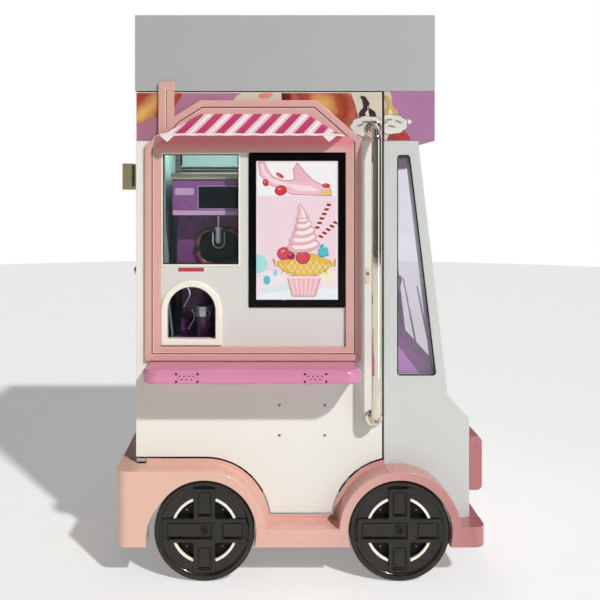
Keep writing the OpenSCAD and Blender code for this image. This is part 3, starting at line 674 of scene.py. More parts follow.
def drop(width: float, height: float, sharp: float = 1.4, count: int = 64) -> np.ndarray:
    """A berry with its tip at the top: u is sin(t) times a power of sin(t / 2), v is cos(t)."""
    t = np.arange(count) * 2 * math.pi / count
    wide = np.sin(t) * np.abs(np.sin(t / 2)) ** sharp
    loop = np.stack([wide / np.abs(wide).max() * width / 2, np.cos(t) * height / 2], 1)
    return loop[::-1]


def held(loop: np.ndarray, low: Pair, high: Pair) -> np.ndarray:
    """An outline whose points are held inside a rectangle."""
    return np.clip(loop, low, high)


def flat_loops(node: str, facing: Facing) -> list[np.ndarray]:
    """Outlines of a CAD node's outermost flat face, counter-clockwise, and its holes clockwise.

    A side of a triangle on that face belongs to an outline if no other triangle has it the other
    way round. The sides are then put in order.

    Args:
        node: name of the CAD node.
        facing: the way that the face looks.

    Returns:
        The outlines, the largest first.
    """
    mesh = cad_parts[node].data
    mesh.calc_loop_triangles()
    points, sides = np.zeros(len(mesh.vertices) * 3, np.float32), np.zeros(
        len(mesh.loop_triangles) * 3, np.int32
    )
    mesh.vertices.foreach_get("co", points)
    mesh.loop_triangles.foreach_get("vertices", sides)
    place = facing.local(points.reshape(-1, 3).astype(float))
    sides = sides.reshape(-1, 3)
    sides = sides[(place[sides, 2] > place[:, 2].max() - 2e-5).all(1)]
    spots, same = np.unique(np.round(place[:, :2], 5), axis=0, return_inverse=True)
    sides = same.ravel()[sides]
    steps = np.concatenate([sides[:, [0, 1]], sides[:, [1, 2]], sides[:, [2, 0]]])
    known = set(map(tuple, steps.tolist()))
    after = {a: b for a, b in known if (b, a) not in known and a != b}
    loops = []
    while after:
        first, here = next(iter(after.items()))
        walk = [first]
        while here != first:
            walk.append(here)
            here = after.pop(here)
        after.pop(first, None)
        loops.append(simplify(spots[walk]))
    return sorted(loops, key=lambda x: -abs(area(x)))


# ---------------------------------------------------------------------------------------------
# Meshes


@dataclass
class Shell:
    """A mesh in the making, to which closed surfaces are added, each with its finish.

    Args:
        points: points of each surface.
        faces: point numbers of each face.
        marks: finish number of each face.
        finishes: the finishes.
        facing: the way that its plates and turned surfaces look.
    """

    points: list[np.ndarray] = field(default_factory=list)
    faces: list[list[int]] = field(default_factory=list)
    marks: list[int] = field(default_factory=list)
    finishes: list[Finish] = field(default_factory=list)
    facing: Facing = Facing.RIGHT

    def add(self, points: np.ndarray, faces: object, finish: Finish) -> "Shell":
        """Adds a surface.

        Args:
            points: its points in the row frame.
            faces: point numbers of each face.
            finish: its finish.

        Returns:
            The shell itself.
        """
        start = sum(len(p) for p in self.points)
        if finish not in self.finishes:
            self.finishes.append(finish)
        faces = [[int(i) + start for i in f] for f in np.asarray(faces).tolist()]
        self.points.append(points.reshape(-1, 3))
        self.faces += faces
        self.marks += [self.finishes.index(finish)] * len(faces)
        return self

    def grid(self, points: np.ndarray, finish: Finish, wrap: tuple[bool, bool] = (False, False)) -> "Shell":
        """Adds a grid of points (rows, columns, 3), closed along rows or columns where wrap says so."""
        rows, columns = points.shape[:2]
        r, c = np.arange(rows - (not wrap[0])), np.arange(columns - (not wrap[1]))
        i, j = (x.ravel() for x in np.meshgrid(r, c, indexing="ij"))
        i2, j2 = (i + 1) % rows, (j + 1) % columns
        faces = np.stack([i * columns + j, i * columns + j2, i2 * columns + j2, i2 * columns + j], 1)
        return self.add(points, faces, finish)

    def slab(
        self, loops: list[np.ndarray], w0: float, w1: float, finish: Finish, soft: float = 0.0,
        steps: int = 3, facing: Facing | None = None,
    ) -> "Shell":
        """Adds a closed plate from depth w0 to w1 with a rounded outer edge.

        Each outline is carried from w0 to w1 - soft, and then along a quarter circle, on which it
        moves inwards by soft * (1 - cos a) while it rises by soft * sin a.

        Args:
            loops: outer outline and holes.
            w0: depth of its back, along the outward axis.
            w1: depth of its face.
            finish: its finish.
            soft: radius of the outer edge.
            steps: steps of that radius.
            facing: the way that it looks, if not the shell's own.

        Returns:
            The shell itself.
        """
        world = (facing or self.facing).world
        turn = np.linspace(0, math.pi / 2, steps + 1) if soft else np.zeros(1)
        ordered = [x if (area(x) > 0) == (i == 0) else x[::-1] for i, x in enumerate(loops)]
        ends = []
        for loop in ordered:
            rings = [np.column_stack([loop, np.full(len(loop), w0)])]
            for a in turn:
                moved = inset(loop, soft * (1 - math.cos(a))) if soft else loop
                rings.append(np.column_stack([moved, np.full(len(loop), w1 - soft + soft * math.sin(a))]))
            rings = np.array(rings)
            self.grid(world(rings), finish, (False, True))
            ends.append((rings[0], rings[-1]))
        for rings in zip(*ends):
            triangles = tessellate_polygon([[Vector((p[0], p[1], 0)) for p in ring] for ring in rings])
            self.add(world(np.concatenate(rings)), triangles, finish)
        return self

    def lathe(
        self, profile: object, u: float, v: float, finish: Finish, count: int = 64, base: float = 0.0,
        facing: Facing | None = None,
    ) -> "Shell":
        """Adds a turned surface about the outward axis through (u, v).

        Args:
            profile: points of (radius, depth over the base).
            u: place of the axis.
            v: place of the axis.
            finish: its finish.
            count: points of a ring.
            base: depth that the profile starts from.
            facing: the way that it looks, if not the shell's own.

        Returns:
            The shell itself.
        """
        r, w = np.array(profile, float).T + [[0.0], [base]]
        t = np.arange(count) * 2 * math.pi / count
        ring = np.stack(
            [u + r[:, None] * np.cos(t), v + r[:, None] * np.sin(t), np.repeat(w[:, None], count, 1)], 2
        )
        return self.grid((facing or self.facing).world(ring), finish, (False, True))

    def tube(
        self, path: np.ndarray, radius: object, side: tuple[float, float, float], finish: Finish,
        count: int = 24,
    ) -> "Shell":
        """Adds a round tube along a flat path.

        A ring's points are path + radius * (cos t * side + sin t * (along x side)).

        Args:
            path: points of its centre line.
            radius: one radius, or one for each point.
            side: direction at right angles to the whole path.
            finish: its finish.
            count: points of a ring.

        Returns:
            The shell itself.
        """
        along = np.gradient(path, axis=0)
        along /= np.linalg.norm(along, axis=1)[:, None]
        other = np.cross(along, np.array(side, float))
        t = np.arange(count) * 2 * math.pi / count
        radius = np.broadcast_to(np.array(radius, float), len(path))[:, None, None]
        rings = path[:, None] + radius * (
            np.cos(t)[None, :, None] * np.array(side, float) + np.sin(t)[None, :, None] * other[:, None]
        )
        ends = [np.repeat(p[None, None], count, 1) for p in (path[0], path[-1])]
        return self.grid(np.concatenate([ends[0], rings, ends[1]]), finish, (False, True))

    def piece(
        self, name: str, body: str, replaces: tuple[str, ...] = (), sharp: float = 32.0
    ) -> bpy.types.Object:
        """Makes the finished piece.

        Args:
            name: the piece's name.
            body: the CAD body that it rides on.
            replaces: CAD nodes that it stands for.
            sharp: angle in degrees past which an edge is shaded as a sharp one.

        Returns:
            The new object, at the origin.
        """
        mesh = bpy.data.meshes.new(name)
        mesh.from_pydata(np.concatenate(self.points), [], self.faces)
        mesh.polygons.foreach_set("material_index", np.array(self.marks, np.int32))
        for f in self.finishes:
            mesh.materials.append(f.material())
        clean = bmesh.new()
        clean.from_mesh(mesh)
        bmesh.ops.remove_doubles(clean, verts=clean.verts, dist=2e-6)
        bmesh.ops.dissolve_degenerate(clean, edges=clean.edges, dist=1e-7)
        bmesh.ops.recalc_face_normals(clean, faces=clean.faces)
        clean.to_mesh(mesh)
        clean.free()
        mesh.polygons.foreach_set("use_smooth", np.ones(len(mesh.polygons), bool))
        mesh.set_sharp_from_angle(angle=math.radians(sharp))
        made = bpy.data.objects.new(name, mesh)
        even_shading(made)
        return settle(made, body, self.finishes[0].slot, replaces)


def even_shading(made: bpy.types.Object) -> None:
    """Lets large faces rule the normals, so that they look flat beside rounded edges."""
    even = made.modifiers.new("Even shading", "WEIGHTED_NORMAL")
    even.mode, even.weight, even.keep_sharp = "FACE_AREA", 100, True


def settle(
    made: bpy.types.Object, body: str, slot: str, replaces: tuple[str, ...] = ()
) -> bpy.types.Object:
    """Links a piece to the scene, puts it on its body and hides the CAD nodes that it stands for."""
    bpy.context.scene.collection.objects.link(made)
    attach(made, body)
    if replaces:
        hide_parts(*replaces)
    log.info("%s rides on %s, %d faces", made.name, body, len(made.data.polygons))
    return made


def soft_copy(node: str, body: str, finish: Finish, radius: float, steps: int = 2) -> bpy.types.Object:
    """A merged copy of a CAD node with rounded edges, which stands for the node.

    Args:
        node: name of the CAD node.
        body: body that it rides on.
        finish: its finish.
        radius: radius of its edges.
        steps: steps of that radius.

    Returns:
        The new piece.
    """
    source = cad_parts[node].data
    points = np.zeros(len(source.vertices) * 3, np.float32)
    source.vertices.foreach_get("co", points)
    mesh = bpy.data.meshes.new("soft_" + node)
    mesh.from_pydata(points.reshape(-1, 3), [], [tuple(p.vertices) for p in source.polygons])
    merged = bmesh.new()
    merged.from_mesh(mesh)
    bmesh.ops.remove_doubles(merged, verts=merged.verts, dist=1e-5)
    bmesh.ops.dissolve_limit(merged, angle_limit=math.radians(0.6), verts=merged.verts, edges=merged.edges)
    merged.to_mesh(mesh)
    merged.free()
    mesh.polygons.foreach_set("use_smooth", np.ones(len(mesh.polygons), bool))
    mesh.materials.append(finish.material())
    made = bpy.data.objects.new("soft_" + node, mesh)
    edge = made.modifiers.new("Soft edges", "BEVEL")
    edge.width, edge.segments, edge.limit_method = radius, steps, "ANGLE"
    edge.angle_limit = math.radians(30)
    even_shading(made)
    return settle(made, body, finish.slot, (node,))


def dress(nodes: dict[str, Finish]) -> None:
    """Gives CAD nodes that keep their shape a finish."""
    for name, finish in nodes.items():
        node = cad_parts[name]
        node.data.materials.clear()
        node.data.materials.append(finish.material())
        finish.slot
        log.info("%s keeps its CAD shape", name)


# ---------------------------------------------------------------------------------------------
# Sub-assemblies


@dataclass
class Wheels:
    """Four moulded black wheels with a raised cross, recessed panels and cream arcs.

    Args:
        shoulder: radius of the tread's edges.
        lip: radius where the outer lip ends.
        ring: radii of the flat ring's inner edge and of the recess.
        floor: depth of the recess behind the wheel's outer face.
        cross: half length and half width of the level arm and of the upright one.
        panels: recessed panels of the cross as (u0, v0, u1, v1).
        bolt_r: radius of the screws' circle.
        arc: inner and outer radius of the cream arcs.
        bore: radius and depth of the bore.
    """

    shoulder: float = 0.007
    lip: float = 0.172
    ring: Pair = (0.131, 0.116)
    floor: float = 0.034
    cross: tuple[float, ...] = (0.160, 0.046, 0.160, 0.041)
    panels: tuple[tuple[float, ...], ...] = (
        (-0.146, -0.031, 0.030, 0.031),
        (0.066, -0.031, 0.149, 0.031),
        (-0.027, 0.056, 0.027, 0.147),
        (-0.027, -0.147, 0.027, -0.063),
    )
    bolt_r: float = 0.098
    arc: Pair = (0.1175, 0.1275)
    bore: Pair = (0.0182, 0.0595)

    def build(self) -> None:
        """Builds the four wheels."""
        for end in ("front", "rear"):
            for side, facing in (("right", Facing.RIGHT), ("left", Facing.LEFT)):
                self.wheel(f"wheel_{end}_{side}", facing)

    def plus(self, by: float = 0.0) -> np.ndarray:
        """Outline of the cross, made smaller by a distance."""
        a, b, c, d = (x - by for x in self.cross)
        corners = [
            (a, -b), (a, b), (d, b), (d, c), (-d, c), (-d, b), (-a, b), (-a, -b), (-d, -b), (-d, -c),
            (d, -c), (d, -b),
        ]
        return fillet(corners, [0.008, 0.008, 0.006, 0.008, 0.008, 0.006] * 2, 5)

    def wheel(self, node: str, facing: Facing) -> None:
        """Builds one wheel: a turned body with three grooves, and the cross on its outer face."""
        box = Box.of(node)
        u, v, _ = facing.local(box.centre)
        out, radius, width = abs(
            facing.local(box.centre)[2]
        ) + box.size[1] / 2, box.size[2] / 2, box.size[1]
        s, back, rim = self.shoulder, out - width, radius - self.shoulder
        inner = arc_points((rim, back + s), s, -90, 0, 6)
        outer = arc_points((rim, out - s), s, 0, 90, 6)
        grooves = [
            (radius - depth, back + share * width + side)
            for share in (0.3, 0.5, 0.7)
            for side, depth in ((-0.0025, 0.0), (-0.0015, 0.003), (0.0015, 0.003), (0.0025, 0.0))
        ]
        hole, deep = self.bore
        bore = [(0.0, back + deep), (hole, back + deep), (hole, back + 0.0005), (0.024, back)]
        face = [(self.lip, out), (self.lip - 0.004, out - 0.0055), (self.lip - 0.010, out - 0.0085)]
        dish = [
            (self.ring[0], out - 0.0115), (self.ring[0] - 0.003, out - 0.013),
            (self.ring[1] + 0.001, out - 0.018),
        ]
        pit = [(self.ring[1], out - self.floor), (0.0, out - self.floor)]
        shell = Shell(facing=facing).lathe(
            [*bore, *inner, *grooves, *outer, *face, *dish, *pit], u, v, BLACK, 96
        )
        move = [u, v]
        holes = [rect(*p, 0.004, 4) + move for p in self.panels]
        shell.slab([self.plus(0.006) + move], out - self.floor - 0.001, out - 0.0115, BLACK)
        shell.slab([self.plus() + move, *holes], out - self.floor - 0.001, out - 0.0035, BLACK, 0.003)
        for p in self.panels:
            shell.slab([inset(rect(*p, 0.004, 4), 0.005) + move], out - 0.012, out - 0.0085, BLACK, 0.002)
        hub = [
            (0.0115, -0.009), (0.0115, -0.004), (0.0125, -0.003), (0.0165, -0.003), (0.0175, -0.004),
            (0.0175, -0.009),
        ]
        shell.lathe(hub + hub[:1], u, v, BLACK, 32, out)
        # A black disc in the hub's middle: painted shade of the centre hole
        shell.lathe([(0.0, out - 0.0085), (0.0116, out - 0.0080), (0.0, out - 0.0078)], u, v, BLACK_AND_HOLE_SHADE, 32)
        # The recess floor is blacker than the moulding: painted shade
        reach = self.ring[1] - 0.001
        pit_floor = [(0.0, 0.0), (reach, 0.0), (reach, 0.001), (0.0, 0.001)]
        shell.lathe(pit_floor, u, v, BLACK_RECESS_SHADE, 64, out - self.floor)
        for quarter in range(4):
            start = 90 * quarter
            arc = sector(u, v, *self.arc, start + 20, start + 70)
            shell.slab([arc], out - 0.020, out - 0.0095, CREAM_ARC, 0.0015, 2)
            turn = math.radians(start + 45)
            place = (u + self.bolt_r * math.cos(turn), v + self.bolt_r * math.sin(turn))
            top = out - self.floor + 0.001
            head = [
                (0.0, top), (0.0045, top), (0.0042, top + 0.0018), (0.002, top + 0.0026),
                (0.0, top + 0.0014),
            ]
            shell.lathe(head, *place, SCREW, 12)
        shell.piece(node + "_moulding", node, (node,))


@dataclass
class Skirt:
    """Moulded gelcoat skirt round the lower body, with a bar across the nose.

    Args:
        edge: radius of the moulding's edges.
    """

    edge: float = 0.0055

    def build(self) -> None:
        """Builds the two side mouldings, the two ends and the bar."""
        for node in ("skirt_right", "skirt_left", "front_bumper", "rear_bumper"):
            soft_copy(node, "body", SKIRT, self.edge, 3)
        soft_copy("bumper_bar", "body", SKIRT, 0.003, 3)
        self.lamps()

    def lamps(self) -> None:
        """Two round lamps: a bright bezel round a domed lens on the bar's face."""
        box = Box.of("headlights")
        radius = box.size[2] / 2
        shell = Shell()
        for u in (box.y0 + radius, box.y1 - radius):
            v, w = box.centre[2], box.x0
            bezel = [
                (radius - 0.009, 0.0), (radius, 0.0), (radius, 0.004), (radius - 0.003, 0.0095),
                (radius - 0.007, 0.0095), (radius - 0.009, 0.005),
            ]
            shell.lathe(bezel + bezel[:1], u, v, CHROME, base=w, facing=Facing.FRONT)
            r = np.linspace(0, radius - 0.0088, 9)
            dome = [*zip(r, w + 0.0085 - 0.004 * (r / radius) ** 2), (r[-1], w + 0.001), (0.0, w + 0.001)]
            shell.lathe(dome, u, v, LENS, facing=Facing.FRONT)
        shell.piece("headlight_set", "body", ("headlights",))


@dataclass
class Chassis:
    """Frame, axles and floor under the body, which keep their CAD shape."""

    def build(self) -> None:
        """Finishes the nodes."""
        dress({
            "chassis_frame": STEEL_DARK, "axle_front": STEEL, "axle_rear": STEEL, "floor_panel": FLOOR_GREY
        })


@dataclass
class BandArt:
    """Printed vinyl of berries, cream and cones on the sign band.

    Args:
        facing: the way that the band looks.
        body: body that it rides on.
        low: lower corner of the printed area in (u, v).
        high: upper corner of the printed area.
        depth: depth of the surface that it lies on.
    """

    facing: Facing
    body: str
    low: tuple[float, float]
    high: tuple[float, float]
    depth: float
    shell: Shell = field(default_factory=Shell)

    def film(self, loop: np.ndarray, layer: int, finish: Finish) -> "BandArt":
        """Adds one printed shape, held inside the band, on its own layer."""
        loop = simplify(held(loop, self.low, self.high))
        if len(loop) > 2 and abs(area(loop)) > 1e-6:
            w = self.depth + layer * FILM
            self.shell.slab([loop], w - 0.0001, w + FILM, finish, facing=self.facing)
        return self

    def ground(self, finish: Finish) -> "BandArt":
        """Covers the whole area."""
        return self.film(rect(*self.low, *self.high), 0, finish)

    def berry(
        self, u: float, v: float, width: float, height: float, turn: float, layer: int = 2
    ) -> "BandArt":
        """A cut berry, painted as one slice whose long axis runs to its tip."""
        side = self.facing.world(np.array([1.0, 0.0, 0.0]))[0]
        name, reach = f"slice {self.facing.name} {u:.2f}", (height / 2, width / 2)
        finish = Slice(name, **SLICE, at=(u * side, v), turn=(90 + turn) * side, reach=reach)
        return self.film(turned(drop(width, height, 0.8), turn) + [u, v], layer, finish)

    def swirl(self, u: float, v: float, size: float, peak: Finish, layer: int = 3) -> "BandArt":
        """A heap of whipped cream with a flame-like peak of soft ice."""
        flame = np.array([
            [-0.30, 0.30], [-0.34, 0.62], [-0.16, 0.84], [-0.22, 1.12], [-0.42, 1.30], [-0.10, 1.22],
            [0.06, 0.98], [0.02, 0.82], [0.26, 0.66], [0.34, 0.30],
        ])
        self.film(fillet(flame[::-1] * size * 1.08, 0.006) + [u, v - 0.01], layer, BAND_EDGE)
        self.film(fillet(flame[::-1] * size, 0.006) + [u, v], layer + 1, peak)
        streak = np.array([
            [-0.06, 0.34], [-0.10, 0.62], [0.0, 0.74], [-0.10, 1.10], [0.0, 0.90], [0.02, 0.62],
            [0.10, 0.34],
        ])
        self.film(fillet(streak[::-1] * size, 0.003) + [u, v], layer + 2, BAND_WHITE)
        t = np.arange(72) * 2 * math.pi / 72
        puffs = 1 + 0.09 * np.abs(np.sin(4.5 * t))
        cloud = np.stack([0.60 * puffs * np.cos(t), 0.36 * puffs * np.sin(t)], 1)
        self.film(cloud * size * 1.06 + [u, v + 0.1 * size], layer + 3, BAND_EDGE)
        self.film(cloud * size + [u, v + 0.1 * size], layer + 4, BAND_WHITE)
        folds = ((-0.28, 0.16, 20), (0.02, 0.02, -10), (0.3, 0.2, -25), (-0.1, 0.28, 5))
        for i, (x, y, turn) in enumerate(folds):
            fold = ellipse(u + x * size, v + y * size, 0.15 * size, 0.035 * size, turn, 20)
            self.film(fold, layer + 5 + i % 2, BAND_EDGE)
        return self

    def cone(self, u: float, v: float, size: float, turn: float, layer: int = 2) -> "BandArt":
        """A waffle cone with three rounds of cream."""
        cup = np.array([[-0.3, 0.05], [0.0, -0.62], [0.3, 0.05]])
        self.film(turned(fillet(cup * size, 0.01), turn) + [u, v], layer, BAND_CONE)
        for i, (half, up) in enumerate(((0.36, 0.1), (0.29, 0.26), (0.19, 0.4))):
            for grow, finish in ((0.03, BERRY_PALE), (0.0, BAND_WHITE)):
                loop = ellipse(0, up * size, (half + grow) * size, (0.13 + grow) * size, 8)
                self.film(turned(loop, turn) + [u, v], layer + 1 + 2 * i + (not grow), finish)
        tip = turned(drop(0.2 * size, 0.3 * size, 1.0), 12) + [0.01, 0.56 * size]
        return self.film(turned(tip, turn) + [u, v], layer + 7, BAND_WHITE)

    def done(self, name: str) -> None:
        """Makes the printed film a piece."""
        self.shell.piece(name, self.body)


@dataclass
class Bodywork:
    """Cab, roof, sign band, jambs and the plain left side.

    Args:
        edge: radius of the panels' edges.
        gasket: width of the rubber round the cab windows.
    """

    edge: float = 0.0022
    gasket: float = 0.0034

    def build(self) -> None:
        """Builds the fixed body."""
        self.panel("left_side_panel", Facing.LEFT, WHITE)
        for node, facing in (("cab_side_right", Facing.RIGHT), ("cab_side_left", Facing.LEFT)):
            window = self.panel(node, facing, CAB)[1]
            self.window_gasket(node, facing, window)
        for node, finish in (
            ("windshield_frame", CAB), ("nose_panel", CAB), ("roof_box", ROOF), ("cab_header", BAND),
            ("rear_frame", WHITE),
        ):
            soft_copy(node, "body", finish, 0.003)
        soft_copy("door_frame", "body", JAMB, 0.0015)
        dress({"bulkhead": TEAL, "ceiling": TEAL, "cab_glass": TINT})
        self.seals()
        self.windshield_trim()
        self.print_header()
        self.dashboard()

    def panel(self, node: str, facing: Facing, finish: Finish) -> list[np.ndarray]:
        """A side panel as a slab of its own outlines, which are returned."""
        box, loops = Box.of(node), flat_loops(node, facing)
        back, out = (box.y0, box.y1) if facing is Facing.LEFT else (-box.y1, -box.y0)
        slab = Shell().slab(loops, back, out, finish, self.edge, facing=facing)
        slab.piece("panel_" + node, "body", (node,))
        return loops

    def window_gasket(self, node: str, facing: Facing, window: np.ndarray) -> None:
        """A rubber ring inside the window's edge."""
        box = Box.of(node)
        out = box.y1 if facing is Facing.LEFT else -box.y0
        edge = window if area(window) > 0 else window[::-1]
        shell = Shell(facing=facing).slab(
            [edge, inset(edge, self.gasket)], out - 0.0075, out + 0.0004, RUBBER, 0.0012
        )
        shell.piece("gasket_" + node, "body")

    def seals(self) -> None:
        """Black rubber on the jamb behind the door's gap, and in the gap to the cab: seals, which also
        paint the gaps' shade so that they look black.
        """
        jamb, door = Box.of("door_frame"), Box.of("service_door")
        cab = Box.of("cab_side_right")
        w = -Box.of("floor_panel").y0
        low = Box.of("floor_panel").z1 + 0.02
        outer = rect(jamb.x0 + 0.042, low, cab.x0, door.z1 - 0.024)
        inner = inset(outer, 0.03)
        shell = Shell().slab([outer, inner], w, w + 0.006, RUBBER, 0.002)
        shell.slab(
            [rect(door.x1 + 0.003, 0.40, cab.x0 + 0.001, door.z1 - 0.024)], w, -cab.y0 - 0.012, RUBBER,
            0.001,
        )
        shell.piece("door_seals_and_gap_shade", "body")

    def windshield_trim(self) -> None:
        """Rubber round the windshield, on the leaning face, and two wipers at its foot.

        A point of the leaning face is the foot plus v times the unit vector up the face.
        """
        frame_box, side = Box.of("windshield_frame"), Box.of("cab_side_right")
        window = flat_loops("cab_side_right", Facing.RIGHT)[1]
        z0, z1 = window[:, 1].min(), window[:, 1].max()
        foot = np.array([frame_box.x1, 0.0, frame_box.z0])
        head_z = Box.of("cab_header").z0
        slope = np.array([frame_box.x0 + side.size[1] - foot[0], 0.0, head_z - foot[2]])
        up = slope / np.linalg.norm(slope)
        out = np.array([up[2], 0.0, -up[0]])
        middle, half = (side.y0 + Box.of("cab_side_left").y1) / 2, (frame_box.y1 - frame_box.y0) / 2 - 0.052
        scale = 1 / up[2]
        v0, v1 = (z0 - foot[2]) * scale, (z1 - foot[2]) * scale
        outer = rect(middle - half, v0, middle + half, v1, 0.024)
        shell = Shell().slab(
            [outer, inset(outer, 0.012)], -0.02, 0.0008, RUBBER, 0.0015, facing=Facing.FRONT
        )
        for u in (middle - half * 0.55, middle + half * 0.35):
            path = np.column_stack([
                np.full(9, 0.006), np.linspace(u, u + 0.16, 9), v0 - 0.02 + 0.32 * np.linspace(0, 1, 9)
            ])
            shell.tube(path, np.linspace(0.0045, 0.003, 9), (1, 0, 0), RUBBER, 10)
            shell.lathe(
                [(0.0, 0.0), (0.014, 0.0), (0.013, 0.008), (0.0, 0.011)], u, v0 - 0.02, RUBBER, 24,
                facing=Facing.FRONT,
            )
        shell.points = [
            foot + p[:, [0]] * out + p[:, [1]] * [0, 1, 0] + p[:, [2]] * up
            for p in shell.points
        ]
        shell.piece("windshield_trim", "body")

    def print_header(self) -> None:
        """The printed band on the cab's fascia and on the left side."""
        head, left = Box.of("cab_header"), Box.of("left_side_panel")
        art = BandArt(
            Facing.RIGHT, "body", (head.x0 + 0.002, head.z0 + 0.004), (head.x1 - 0.004, head.z1 - 0.003),
            -head.y0,
        )
        art.film(ellipse(head.x0 - 0.02, head.z0 + 0.11, 0.055, 0.14), 1, BAND_CREAM)
        art.film(ellipse(head.x0 + 0.058, head.z0 - 0.012, 0.048, 0.056), 1, BERRY)
        art.swirl(head.x0 + 0.028, head.z0 + 0.055, 0.098, HONEY)
        art.film(ellipse(head.x0 + 0.095, head.z0 + 0.075, 0.013, 0.009), 2, BAND_WHITE)
        art.done("band_print_cab_right")
        art = BandArt(
            Facing.LEFT, "body", (-head.x1 + 0.004, head.z0 + 0.004), (-left.x0 - 0.002, head.z1 - 0.003),
            head.y1,
        )
        art.ground(BAND)
        for i, u in enumerate(np.linspace(art.low[0] + 0.2, art.high[0] - 0.14, 4)):
            art.berry(u, head.z0 + 0.10, 0.16, 0.22, (20, -25, 12, -14)[i])
            art.cone(u + 0.13, head.z0 + 0.09, 0.15, (-8, 6, -4, 9)[i])
        art.done("band_print_left")

    def dashboard(self) -> None:
        """The shelf behind the windshield, the sloping console over it, and a purple header.

        The console's end is cut into bands that follow its slope, from the top edge downwards.
        """
        soft_copy("dashboard", "body", DASH, 0.004, 3)
        box = Box.of("dashboard")
        x, z, near, far = box.x0 + 0.001, box.z1 + 0.003, -box.y0 - 0.004, -box.y1 + 0.004
        bands = (
            ([(0.0, 0.214), (0.174, 0.018), (0.170, 0.066), (0.0, 0.251)], DASH_DARK),
            ([(0.0, 0.170), (0.131, 0.002), (0.176, 0.002), (0.174, 0.015), (0.0, 0.211)], DASH),
            ([(0.0, 0.0), (0.130, 0.0), (0.0, 0.168)], DASH_LIGHT),
        )
        shell = Shell()
        for corners, finish in bands:
            shell.slab([np.array(corners) + [x, z]], far, near, finish, 0.0015, 2)
        top = Box.of("cab_glass").z1
        shell.slab([rect(x, top - 0.052, x + 0.078, top + 0.018)], far, near, DASH, 0.0015, 2)
        shell.piece("cab_console", "body")
        hub = np.array([x + 0.085, 0.12, z + 0.235])
        t = np.arange(48) * 2 * math.pi / 48
        spokes = 0.105 * np.stack([0.5 * np.cos(t), np.sin(t), 0.86 * np.cos(t)], 1)
        rings = (hub + spokes)[:, None] + 0.009 * ring_section(spokes, 12)
        ring = Shell().grid(rings, DASH_DARK, (True, True))
        for k in (12, 28, 44):
            ring.tube(
                hub + np.linspace(0, 0.97, 5)[:, None] * spokes[k], 0.006, (0.86, 0.0, -0.5), DASH_DARK, 12
            )
        ring.piece("cab_steering_ring", "body")


def ring_section(spokes: np.ndarray, count: int) -> np.ndarray:
    """Unit circles round a flat ring: cos t times the spoke plus sin t times the ring's axis."""
    out = spokes / np.linalg.norm(spokes, axis=1)[:, None]
    axis = np.cross(spokes[0], spokes[len(spokes) // 4])
    axis /= np.linalg.norm(axis)
    t = np.arange(count) * 2 * math.pi / count
    return np.cos(t)[None, :, None] * out[:, None] + np.sin(t)[None, :, None] * axis


